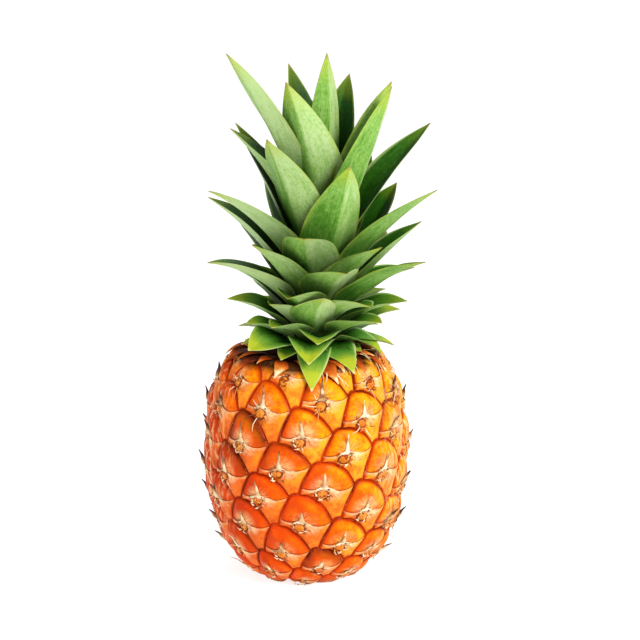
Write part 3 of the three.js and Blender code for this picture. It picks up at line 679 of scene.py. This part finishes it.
# ---------------------------------------------------------------- collar bracts
# Two rings of small dried leaves on the fruit's shoulder, where the crown grows out of it. Each
# is a keeled orange-brown triangle that lies outwards over the topmost eyes and lifts at its tip.
# On the paler side they have torn into straw-coloured fibres.
COLLAR_BRACTS = 13
COLLAR_STATIONS = 9
COLLAR_STRANDS = 4  # torn fibres beside each bract
COLLAR_ROWS = [(-2, 9, 0), (2, 15, 180 / COLLAR_BRACTS)]  # first and last eye passed, and turn
strip_plan, strip_along, strip_faces = ribbon("collar", COLLAR_STATIONS)
collar = []
collar_tones = []
for row, (inner_place, outer_place, row_turn) in enumerate(COLLAR_ROWS):
    for number in range(COLLAR_BRACTS):
        key = 100 * row + number
        turn = number * 360 / COLLAR_BRACTS + row_turn + 6 * wobble(key, 21)
        reach = outer_place + 2.5 * wobble(key, 22)
        places = np.linspace(inner_place, reach, COLLAR_STATIONS)
        turns = turn + np.linspace(0, 5 * wobble(key, 23), COLLAR_STATIONS)
        lifts = np.linspace(1.0, 3.8 + 0.8 * wobble(key, 24), COLLAR_STATIONS)
        route = on_skin(places, turns, lifts)
        facing = on_skin(reach, turn, 1.0) - on_skin(reach, turn, 0.0)
        collar.append(bent_strip(route, (9.0, 11.0, 10.5, 8.0, 5.0, 2.2, 0.3), (2.2, 2.6, 2.4, 1.6, 0.4), facing))
        collar_tones.append(wobble(key, 25))
        torn = math.sin(math.radians(turn)) > 0.1
        for strand in range(COLLAR_STRANDS * torn):
            thread = key * COLLAR_STRANDS + strand
            apart = np.linspace(3, 9 * wobble(thread, 26), COLLAR_STATIONS) * (1 - 2 * (strand % 2))
            route = on_skin(places + 2 * wobble(thread, 27), turns + apart, 0.8 * lifts + 0.3)
            collar.append(bent_strip(route, (1.3, 1.1, 0.7, 0.2), (0.6, 0.5, 0.3), facing))
            collar_tones.append(2.2 + wobble(thread, 28))
collar_bracts = join_sheets("collar_bracts", collar, strip_faces, {
    "along": np.tile(strip_along, len(collar)),
    "tone": np.repeat(collar_tones, len(strip_along)),
})
weld(collar_bracts, 0.000001)
bpy.ops.object.shade_smooth_by_angle(angle=math.radians(35))


# Half-dried leaf: brown at the covered root, orange in the middle, straw-pale at the tip.
def dried_collar():
    material = bpy.data.materials.new("dried_collar_bract")
    material.use_nodes = True
    tree = material.node_tree
    shader = tree.nodes["Principled BSDF"]
    place = add(tree, "ShaderNodeTexCoord").outputs["Object"]
    tone = add(tree, "ShaderNodeAttribute", attribute_name="tone").outputs["Fac"]
    along = add(tree, "ShaderNodeAttribute", attribute_name="along").outputs["Fac"]
    stain = add(tree, "ShaderNodeTexNoise", {"Vector": place, "Scale": 300, "Detail": 4}).outputs["Fac"]
    age = add(tree, "ShaderNodeMath", {0: tone, 1: 0.22, 2: along}, operation="MULTIPLY_ADD").outputs[0]
    age = add(tree, "ShaderNodeMath", {0: stain, 1: 0.6, 2: age}, operation="MULTIPLY_ADD").outputs[0]
    age = add(tree, "ShaderNodeMath", {0: age, 1: 0.8}, operation="MULTIPLY").outputs[0]
    colour = add(tree, "ShaderNodeValToRGB", {0: age}, stops=[
        (0.36, "#4A1604"), (0.6, "#A03C08"), (0.82, "#D0661C"), (0.93, "#E49A4C"), (1, "#F2D6A4"),
    ]).outputs[0]
    tree.links.new(colour, shader.inputs["Base Color"])
    bump = add(tree, "ShaderNodeBump", {"Height": stain, "Strength": 0.5, "Distance": 0.0005})
    tree.links.new(bump.outputs[0], shader.inputs["Normal"])
    shader.inputs["Roughness"].default_value = 0.6
    shader.inputs["Specular IOR Level"].default_value = 0.1
    return material


collar_bracts.data.materials.append(dried_collar())
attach(collar_bracts, "root")

# ---------------------------------------------------------------- stalk stub
# The end of the fruit's own stalk, sawn flush with the surface it stands on: a tan disc of
# coarse fibres that has dried, with a worn, rounded rim.
STALK_RADIUS = 12
STALK_HEIGHT = 9
bpy.ops.object.select_all(action="DESELECT")
bpy.ops.mesh.primitive_cylinder_add(vertices=96, radius=STALK_RADIUS * MM, depth=STALK_HEIGHT * MM,
                                    location=(0, 0, STALK_HEIGHT * MM / 2), end_fill_type="NGON")
stalk = bpy.context.object
stalk.name = "cut_stalk"
bpy.ops.object.transform_apply(location=True, rotation=True, scale=True)
bpy.ops.object.mode_set(mode="EDIT")
bpy.ops.mesh.select_mode(type="FACE")
bpy.ops.mesh.select_all(action="DESELECT")
bpy.ops.object.mode_set(mode="OBJECT")
for face in stalk.data.polygons:
    face.select = face.normal.z < -0.5
bpy.ops.object.mode_set(mode="EDIT")
for share in (0.25, 0.35, 0.5):
    bpy.ops.mesh.inset(thickness=STALK_RADIUS * MM * share * 0.5, depth=0)
bpy.ops.object.mode_set(mode="OBJECT")
trim = stalk.modifiers.new("worn_rim", "BEVEL")
trim.width = 0.6 * MM
trim.segments = 3
trim.limit_method = "ANGLE"
bpy.ops.object.modifier_apply(modifier=trim.name)
bpy.ops.object.shade_smooth_by_angle(angle=math.radians(40))


# Sawn plant stalk: bundles of fibre end-on, about 0.6 mm apart, drawn as dark and light dots.
def sawn_stalk():
    material = bpy.data.materials.new("sawn_fibrous_stalk")
    material.use_nodes = True
    tree = material.node_tree
    shader = tree.nodes["Principled BSDF"]
    place = add(tree, "ShaderNodeTexCoord").outputs["Object"]
    bundles = add(tree, "ShaderNodeTexVoronoi", {"Vector": place, "Scale": 900}).outputs["Distance"]
    stain = add(tree, "ShaderNodeTexNoise", {"Vector": place, "Scale": 130, "Detail": 4}).outputs["Fac"]
    age = add(tree, "ShaderNodeMath", {0: bundles, 1: 0.5}, operation="MULTIPLY").outputs[0]
    age = add(tree, "ShaderNodeMath", {0: stain, 1: 0.7, 2: age}, operation="MULTIPLY_ADD").outputs[0]
    colour = add(tree, "ShaderNodeValToRGB", {0: age}, stops=[
        (0.3, "#6B4A26"), (0.5, "#A98750"), (0.7, "#D2B57C"), (0.9, "#E4CF9E"),
    ]).outputs[0]
    tree.links.new(colour, shader.inputs["Base Color"])
    bump = add(tree, "ShaderNodeBump", {"Height": age, "Strength": 0.5, "Distance": 0.0004})
    tree.links.new(bump.outputs[0], shader.inputs["Normal"])
    shader.inputs["Roughness"].default_value = 0.85
    return material


stalk.data.materials.append(sawn_stalk())
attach(stalk, "root")
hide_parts("stalk_stub")

# ---------------------------------------------------------------- crown stem
# The crown's short stem, which the leaves grow from. It stands in the fruit's top and hides
# behind the leaves' clasping roots.
SEAT_X, SEAT_Z, SEAT_LEAN = 3, 112, math.radians(3.5)
STEM_RADIUS, STEM_HEIGHT, STEM_TAPER = 15.4, 96, 1.7
FIT_GAP = 0.4


def seated(points):
    """Points of the crown's own frame, set in the fruit's seat and leaning with it."""
    x, y, z = np.asarray(points, float).T
    lean_cos, lean_sin = math.cos(SEAT_LEAN), math.sin(SEAT_LEAN)
    return np.stack([x * lean_cos + z * lean_sin + SEAT_X, y, z * lean_cos - x * lean_sin + SEAT_Z], -1)


def unseated(points):
    """The way back from the fruit's frame to the crown's own."""
    x, y, z = np.asarray(points, float).T
    lean_cos, lean_sin = math.cos(SEAT_LEAN), math.sin(SEAT_LEAN)
    x, z = x - SEAT_X, z - SEAT_Z
    return np.stack([x * lean_cos - z * lean_sin, y, z * lean_cos + x * lean_sin], -1)


def stem_radius(z):
    return STEM_RADIUS * (1 - np.clip(z / STEM_HEIGHT, 0, 1) ** STEM_TAPER)


bpy.ops.object.select_all(action="DESELECT")
bpy.ops.mesh.primitive_cylinder_add(vertices=48, radius=1, depth=1, end_fill_type="TRIFAN")
stem = bpy.context.object
stem.name = "crown_stem"
for edge in stem.data.edges:
    ends = [stem.data.vertices[v].co for v in edge.vertices]
    edge.select = abs(ends[0].z - ends[1].z) > 0.5
for face in stem.data.polygons:
    face.select = False
bpy.ops.object.mode_set(mode="EDIT")
bpy.ops.mesh.select_mode(type="EDGE")
bpy.ops.mesh.subdivide_edgering(number_cuts=22, interpolation="LINEAR")
bpy.ops.object.mode_set(mode="OBJECT")
points = np.array([v.co[:] for v in stem.data.vertices])
height = (points[:, 2] + 0.5) * STEM_HEIGHT
girth = np.maximum(stem_radius(height), 0.4) * (1 + 0.01 * np.sin(7 * np.arctan2(points[:, 1], points[:, 0])))
points = seated(np.stack([points[:, 0] * girth, points[:, 1] * girth, height + FIT_GAP * (height < 1)], -1))
stem.data.vertices.foreach_set("co", (points * MM).ravel())
bpy.ops.object.shade_smooth_by_angle(angle=math.radians(40))


# Fresh stem bark: green with brown dried scars where leaves have dropped, painted dark as painted shade from the
# leaves round it.
def crown_bark():
    material = bpy.data.materials.new("crown_stem_bark")
    material.use_nodes = True
    tree = material.node_tree
    shader = tree.nodes["Principled BSDF"]
    place = add(tree, "ShaderNodeTexCoord").outputs["Object"]
    stain = add(tree, "ShaderNodeTexNoise", {"Vector": place, "Scale": 160, "Detail": 4}).outputs["Fac"]
    colour = add(tree, "ShaderNodeValToRGB", {0: stain}, stops=[
        (0.3, "#140E04"), (0.5, "#1A3208"), (0.7, "#2E5014"),
    ]).outputs[0]
    tree.links.new(colour, shader.inputs["Base Color"])
    shader.inputs["Roughness"].default_value = 0.7
    shader.inputs["Specular IOR Level"].default_value = 0.1
    return material


stem.data.materials.append(crown_bark())
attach(stem, "root")
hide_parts("crown")

# ---------------------------------------------------------------- crown leaves
# 66 stiff, channelled leaves on a golden-angle spiral, each a closed blade that clasps the stem.
# Innermost ones stand up; the lowest are short and lie over the fruit's shoulder.
LEAF_COUNT = 66
LEAF_TURN = 137.5
LEAF_FIRST_ANGLE = 35
LEAF_THICKNESS = 0.9
LEAF_TREND = [  # number, root height, tip radius, tip height, slope at the root, width
    (0, 78, 8, 170, 88, 28), (5, 68, 28, 165, 76, 38), (10, 58, 50, 134, 65, 38),
    (16, 46, 62, 104, 58, 37), (22, 38, 58, 88, 54, 36), (28, 32, 61, 63, 50, 34),
    (36, 25, 50, 43, 42, 31), (44, 20, 46, 34, 36, 27), (52, 16, 42, 22, 28, 24),
    (59, 14, 42, 14, 22, 21), (65, 13, 38, 11, 15, 18),
]
LEAF_OWN = {  # leaves that stray from the trend
    0: {"bend": -8},
    1: {"radius": 16, "z": 157, "bend": -8},
    2: {"turn": -22, "radius": 55, "z": 167, "slope": 69, "width": 30, "twist": 30},
    3: {"turn": -14, "radius": 32, "z": 157, "slope": 70, "twist": -35},
    4: {"radius": 33, "z": 159},
    5: {"turn": -15, "radius": 22, "z": 155, "bend": -18, "width": 42},
    6: {"radius": 31, "z": 116},
    7: {"radius": 50, "z": 128, "slope": 68},
    8: {"radius": 36, "z": 156},
    10: {"turn": -10, "z": 129},
    11: {"radius": 58, "z": 133},
    12: {"radius": 51, "z": 127},
    13: {"radius": 36, "z": 117},
    15: {"radius": 65, "z": 99},
    18: {"turn": -4, "radius": 60, "z": 84, "bend": 6},
    19: {"radius": 50, "z": 98},
    20: {"radius": 60, "z": 89},
    21: {"radius": 45, "z": 76},
    23: {"radius": 50, "z": 74},
    24: {"radius": 53, "z": 83},
    26: {"z": 68},
    28: {"z": 60},
    29: {"z": 68},
    31: {"turn": 4, "radius": 58, "z": 52},
    36: {"radius": 33, "z": 40},
    39: {"radius": 42, "z": 50, "bend": 6},
    44: {"turn": 0, "radius": 36, "z": 29},
    47: {"turn": -11, "radius": 41, "z": 25, "bend": -3},
    49: {"turn": 0, "radius": 40, "z": 28},
    50: {"turn": 0, "radius": 38, "z": 13},
    52: {"turn": 12, "radius": 44, "z": 15, "bend": 0, "width": 28},
    55: {"turn": -3, "radius": 34, "z": 2, "bend": -2},
    57: {"turn": 0, "radius": 46, "z": 17, "bend": 0, "width": 30, "twist": -25},
    60: {"turn": -5, "radius": 46, "z": 1, "bend": 0},
    63: {"turn": 0, "radius": 30, "z": 15, "bend": 0},
    65: {"turn": 0, "radius": 36, "z": 13, "bend": 0},
}
LEAF_FOLD = {"inner": 38, "outer": 18, "tip": 20}
LEAF_WOBBLE = {"turn": 4, "reach": 0.05, "bend": 4, "twist": 9}
LEAF_ACROSS, LEAF_ALONG = 10, 26
WHORLS = {"heart": (0, 10), "upper": (10, 22), "middle": (22, 36), "lower": (36, 50), "skirt": (50, 66)}


def clear_of_fruit(points):
    """Points of the crown's frame, moved out to a clearance over the fruit's highest relief."""
    clearance = 3 + 2 * FIT_GAP + LEAF_THICKNESS / 2
    placed = seated(points)
    radius = np.hypot(placed[:, 0], placed[:, 1])
    run = np.linspace(0, 0.6, 41) * skin_run[-1]
    near_r, near_z, slope_r, slope_z = skin_at(run)
    apart = np.hypot(near_r[None] - radius[:, None], near_z[None] - placed[:, 2:])
    best = np.argmin(apart, 1)
    rise_over = (near_z[best] - placed[:, 2]) * -slope_r[best] + (radius - near_r[best]) * -slope_z[best]
    push = np.maximum(0, clearance - rise_over)
    grown = (radius - slope_z[best] * push) / radius
    placed[:, :2] *= grown[:, None]
    placed[:, 2] += slope_r[best] * push
    return unseated(placed)


# One flat blade sheet, modelled once: its loops run across the outer face and back on the inner.
bpy.ops.object.select_all(action="DESELECT")
bpy.ops.mesh.primitive_grid_add(x_subdivisions=2 * LEAF_ACROSS, y_subdivisions=LEAF_ALONG, size=1)
blade = bpy.context.object
blade_plan = np.array([v.co[:2] for v in blade.data.vertices]) + 0.5
blade_faces = [tuple(p.vertices) for p in blade.data.polygons]
bpy.data.objects.remove(blade)
round_blade = blade_plan[:, 0] * 2
on_inner = round_blade > 1
wing = np.where(on_inner, 3 - 2 * round_blade, 2 * round_blade - 1)
along = blade_plan[:, 1]


def turned_about(vectors, axis, angle):
    """Vectors turned about unit axes by angles."""
    c, s = np.cos(angle)[:, None], np.sin(angle)[:, None]
    lengthwise = (vectors * axis).sum(1)[:, None]
    return vectors * c + np.cross(axis, vectors) * s + axis * lengthwise * (1 - c)


def leaf_points(number):
    """The blade sheet bent into one leaf."""
    columns = np.array(LEAF_TREND, float)
    root_z, tip_radius, tip_z, slope, width = [
        np.interp(number, columns[:, 0], columns[:, i]) for i in range(1, 6)
    ]
    own = LEAF_OWN.get(number, {})
    slope, width = own.get("slope", slope), own.get("width", width)
    turn = own.get("turn", LEAF_WOBBLE["turn"] * wobble(number, 3))
    radius = own.get("radius", tip_radius * (1 + LEAF_WOBBLE["reach"] * wobble(number, 4)))
    bend = own.get("bend", LEAF_WOBBLE["bend"] * wobble(number, 5))
    angle = math.radians(LEAF_FIRST_ANGLE + number * LEAF_TURN + turn)
    root = np.array([0.9 * stem_radius(root_z), root_z])
    tip = np.array([radius, own.get("z", tip_z)])
    heel = 0.55 * np.linalg.norm(tip - root)
    knee = root + heel * np.array([math.cos(math.radians(slope)), math.sin(math.radians(slope))])
    t = along[:, None]
    arch = root * (1 - t) ** 2 + knee * 2 * t * (1 - t) + tip * t**2
    run = (knee - root) * 2 * (1 - t) + (tip - knee) * 2 * t
    run /= np.linalg.norm(run, axis=1)[:, None]
    outward = np.array([math.sin(angle), -math.cos(angle), 0])
    sideways = np.cross([0, 0, 1], outward)
    upward = np.array([0, 0, 1])
    middle = arch[:, :1] * outward + arch[:, 1:] * upward + bend * t**2 * sideways
    heading = run[:, :1] * outward + run[:, 1:] * upward
    facing = -run[:, 1:] * outward + run[:, :1] * upward
    twist = np.radians(own.get("twist", LEAF_WOBBLE["twist"] * wobble(number, 6))) * along
    side = turned_about(np.tile(sideways, (len(along), 1)), heading, twist)
    facing = turned_about(facing, heading, twist)
    half = (width / 2) * np.minimum(1, 0.4 + 2.2 * along) * (1 - along**3)
    half = np.maximum(LEAF_THICKNESS / 2 * (1 - 0.5 * along), half)
    root_fold = LEAF_FOLD["inner"] + (LEAF_FOLD["outer"] - LEAF_FOLD["inner"]) * number / LEAF_COUNT
    fold = np.radians(root_fold + (LEAF_FOLD["tip"] - root_fold) * along)
    # A soft keel in place of a sharp fold, and a slow wave along each margin.
    keel = np.sqrt(wing**2 + 0.008) - math.sqrt(0.008)
    wave = 0.5 * np.sin(9 * along + 5 * wobble(number, 13)) * wing**2 * np.sin(np.pi * along)
    across = half * (wing * np.cos(fold))
    raised = half * keel * np.sin(fold) + wave
    skin_side = np.where(on_inner, 0.5, -0.5) * LEAF_THICKNESS * (1 - 0.55 * wing**4) * (1 - 0.5 * along)
    blade = clear_of_fruit(middle + side * across[:, None] + facing * raised[:, None])
    return seated(blade + facing * skin_side[:, None])


# Living leaf: waxy cuticle over fine lengthwise veins, about 0.8 mm apart. The outer face has a
# pale grey bloom, the inner is a clear dark green, and the tips and margins yellow as they dry.
def crown_leaf():
    material = bpy.data.materials.new("bloomed_crown_leaf")
    material.use_nodes = True
    tree = material.node_tree
    shader = tree.nodes["Principled BSDF"]
    plan = add(tree, "ShaderNodeUVMap", uv_map="blade_plan").outputs[0]
    inner, side, share, tone, rank = [
        add(tree, "ShaderNodeAttribute", attribute_name=name).outputs["Fac"]
        for name in ("inner", "side", "along", "tone", "rank")
    ]
    place = add(tree, "ShaderNodeTexCoord").outputs["Object"]
    stretched = add(tree, "ShaderNodeVectorMath", {0: plan, 1: (9, 0.9, 1)}, operation="MULTIPLY").outputs[0]
    veins = add(tree, "ShaderNodeTexNoise", {"Vector": stretched, "Scale": 1.5, "Detail": 3}).outputs["Fac"]
    broad = add(tree, "ShaderNodeVectorMath", {0: plan, 1: (2.2, 0.5, 1)}, operation="MULTIPLY").outputs[0]
    bands = add(tree, "ShaderNodeTexNoise", {"Vector": broad, "Scale": 1.2, "Detail": 2}).outputs["Fac"]
    mottle = add(tree, "ShaderNodeTexNoise", {"Vector": place, "Scale": 700, "Detail": 3}).outputs["Fac"]
    bloom = add(tree, "ShaderNodeMath", {0: share, 1: 0.22, 2: 0.025}, operation="MULTIPLY_ADD").outputs[0]
    # The half of the blade to the right of its fold is painted lighter, as painted light from the key light on the
    # right.
    half = add(tree, "ShaderNodeMapRange", {0: side, 1: -0.07, 2: 0.07, 3: -0.09, 4: 0.09}).outputs[0]
    for output, weight in ((veins, 0.35), (bands, 0.3), (mottle, 0.3), (tone, 0.1), (rank, 0.0022), (half, 1.0)):
        bloom = add(tree, "ShaderNodeMath", {0: output, 1: weight, 2: bloom},
                    operation="MULTIPLY_ADD").outputs[0]
    outer = add(tree, "ShaderNodeValToRGB", {0: bloom}, stops=[
        (0.3, "#326A0D"), (0.46, "#588C2D"), (0.62, "#84AE50"), (0.82, "#B2CC8A"),
    ]).outputs[0]
    # Painted shade: the outer face darkens towards the root, where the leaves below cover it.
    shadiest = add(tree, "ShaderNodeMapRange", {0: rank, 1: 26, 2: 40, 3: 0.9, 4: 0.45}).outputs[0]
    covered_shade = add(tree, "ShaderNodeMapRange", {0: share, 1: 0.5, 2: 0.06, 3: 0.0, 4: shadiest}).outputs[0]
    outer = add(tree, "ShaderNodeMix", {0: covered_shade, 6: outer, 7: "#163E06"}, data_type="RGBA").outputs[2]
    deep = add(tree, "ShaderNodeValToRGB", {0: bloom}, stops=[
        (0.3, "#0A2403"), (0.55, "#143A06"), (0.78, "#26580C"), (0.95, "#3E7616"),
    ]).outputs[0]
    # The lowest leaves' inner faces turn up to the light, and yellow from their tips inwards.
    sunlit = add(tree, "ShaderNodeMapRange", {0: rank, 1: 32, 2: 52, 3: 0.0, 4: 0.95}).outputs[0]
    yellowing = add(tree, "ShaderNodeMath", {0: veins, 1: 0.4, 2: share}, operation="MULTIPLY_ADD").outputs[0]
    lit = add(tree, "ShaderNodeValToRGB", {0: yellowing}, stops=[
        (0.35, "#123A06"), (0.6, "#38701A"), (0.78, "#629434"), (0.95, "#8EAC34"), (1, "#B2BC2C"),
    ]).outputs[0]
    deep = add(tree, "ShaderNodeMix", {0: sunlit, 6: deep, 7: lit}, data_type="RGBA").outputs[2]
    colour = add(tree, "ShaderNodeMix", {0: inner, 6: outer, 7: deep}, data_type="RGBA").outputs[2]
    tipward = add(tree, "ShaderNodeMapRange", {0: share, 1: 0.8, 2: 1.0, 3: 0.0, 4: 0.75}).outputs[0]
    outermost = add(tree, "ShaderNodeMapRange", {0: inner, 3: 1.0, 4: 0.45}).outputs[0]
    tipward = add(tree, "ShaderNodeMath", {0: tipward, 1: outermost}, operation="MULTIPLY").outputs[0]
    colour = add(tree, "ShaderNodeMix", {0: tipward, 6: colour, 7: "#A4B020"}, data_type="RGBA").outputs[2]
    margin = add(tree, "ShaderNodeMath", {0: side}, operation="ABSOLUTE").outputs[0]
    edge = add(tree, "ShaderNodeMapRange", {0: margin, 1: 0.86, 2: 1.0}).outputs[0]
    worn = add(tree, "ShaderNodeMapRange", {0: bands, 1: 0.4, 2: 0.6, 3: 0.15, 4: 0.8}).outputs[0]
    edge = add(tree, "ShaderNodeMath", {0: edge, 1: worn}, operation="MULTIPLY").outputs[0]
    low = add(tree, "ShaderNodeMapRange", {0: rank, 1: 30, 2: 50}).outputs[0]
    margin = add(tree, "ShaderNodeMix", {0: low, 6: "#A9BC4A", 7: "#CCD880"}, data_type="RGBA").outputs[2]
    colour = add(tree, "ShaderNodeMix", {0: edge, 6: colour, 7: margin}, data_type="RGBA").outputs[2]
    # The very tip dries to brown, and to straw on the low leaves.
    dried = add(tree, "ShaderNodeMix", {0: low, 6: "#92823E", 7: "#E6DE98"}, data_type="RGBA").outputs[2]
    dead = add(tree, "ShaderNodeMapRange", {0: share, 1: 0.955, 2: 1.0}).outputs[0]
    colour = add(tree, "ShaderNodeMix", {0: dead, 6: colour, 7: dried}, data_type="RGBA").outputs[2]
    tree.links.new(colour, shader.inputs["Base Color"])
    relief = add(tree, "ShaderNodeMath", {0: mottle, 1: 0.2, 2: veins}, operation="MULTIPLY_ADD").outputs[0]
    bump = add(tree, "ShaderNodeBump", {"Height": relief, "Strength": 0.35, "Distance": 0.0005})
    tree.links.new(bump.outputs[0], shader.inputs["Normal"])
    shader.inputs["Roughness"].default_value = 0.48
    shader.inputs["IOR"].default_value = 1.42
    shader.inputs["Specular IOR Level"].default_value = 0.2
    shader.inputs["Subsurface Weight"].default_value = 0.08
    shader.inputs["Subsurface Radius"].default_value = (0.5, 1.0, 0.15)
    shader.inputs["Subsurface Scale"].default_value = 0.002
    return material


leaf_finish = crown_leaf()
for whorl, (first, last) in WHORLS.items():
    numbers = range(first, last)
    leaves = [leaf_points(number) for number in numbers]
    lengths = np.array([np.linalg.norm(points[along > 0.99].mean(0) - points[along < 0.01].mean(0))
                        for points in leaves])
    plans = [np.stack([wing * 1.5 + 7 * number, along * length / 10 + 3 * number], -1)
             for number, length in zip(numbers, lengths)]
    whorl_leaves = join_sheets("leaves_" + whorl, leaves, blade_faces, {
        "blade_plan": np.concatenate(plans),
        "inner": np.tile(on_inner.astype(float), len(leaves)),
        "side": np.tile(wing, len(leaves)),
        "along": np.tile(along, len(leaves)),
        "tone": np.repeat([wobble(n, 14) for n in numbers], len(along)),
        "rank": np.repeat(numbers, len(along)),
    })
    weld(whorl_leaves, 0.00001)
    bpy.ops.object.mode_set(mode="EDIT")
    bpy.ops.mesh.select_all(action="DESELECT")
    bpy.ops.mesh.select_mode(type="EDGE")
    bpy.ops.mesh.select_non_manifold(extend=False, use_wire=False, use_multi_face=False,
                                     use_non_contiguous=False, use_verts=False)
    bpy.ops.mesh.edge_face_add()
    bpy.ops.mesh.select_all(action="SELECT")
    bpy.ops.mesh.normals_make_consistent(inside=False)
    bpy.ops.object.mode_set(mode="OBJECT")
    bpy.ops.object.shade_smooth_by_angle(angle=math.radians(60))
    whorl_leaves.data.materials.append(leaf_finish)
    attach(whorl_leaves, "root")
    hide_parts("crown")

# ---------------------------------------------------------------- studio
# A plain white light table, which glows softly from below, a large soft key light from the right
# front, a fill from the left and an even white surround.
bpy.ops.object.select_all(action="DESELECT")
bpy.ops.mesh.primitive_plane_add(size=12, location=(0, 0, 0))
table = bpy.context.object
table.name = "white_table"
material = bpy.data.materials.new("white_table_paint")
material.use_nodes = True
shader = material.node_tree.nodes["Principled BSDF"]
shader.inputs["Base Color"].default_value = hue("#B4B4B4")
shader.inputs["Emission Color"].default_value = hue("#FFFFFF")
shader.inputs["Emission Strength"].default_value = 0.78
shader.inputs["Roughness"].default_value = 0.9
shader.inputs["Specular IOR Level"].default_value = 0.1
table.data.materials.append(material)

world = bpy.data.worlds.new("white_surround")
world.use_nodes = True
world.node_tree.nodes["Background"].inputs["Color"].default_value = (1, 1, 1, 1)
world.node_tree.nodes["Background"].inputs["Strength"].default_value = 0.55
bpy.context.scene.world = world
bpy.context.scene.view_settings.view_transform = "Standard"

AIM = np.array([0.0074, 0, 0.139])
for name, place, size, power in (
    ("key", (0.6, -0.7, 0.7), 0.4, 10.5),
    ("fill", (-0.9, -0.6, 0.35), 0.8, 3.6),
    ("rim", (0.2, 0.8, 0.7), 0.6, 2),
):
    lamp = bpy.data.lights.new(name, "AREA")
    lamp.size = size
    lamp.energy = power
    light = bpy.data.objects.new(name, lamp)
    light.location = place
    bpy.context.collection.objects.link(light)
    light.rotation_euler = (Vector(AIM) - light.location).to_track_quat("-Z", "Y").to_euler()

# The camera stands a metre off, 15 degrees above the fruit's middle.
CAMERA_DISTANCE = 1.0
CAMERA_ELEVATION = math.radians(15)
lens = bpy.data.cameras.new("camera")
lens.lens = 105.75
camera = bpy.data.objects.new("camera", lens)
back = np.array([0, -math.cos(CAMERA_ELEVATION), math.sin(CAMERA_ELEVATION)])
camera.location = AIM + CAMERA_DISTANCE * back
camera.rotation_euler = (math.radians(90) - CAMERA_ELEVATION, 0, 0)
bpy.context.collection.objects.link(camera)
bpy.context.scene.camera = camera
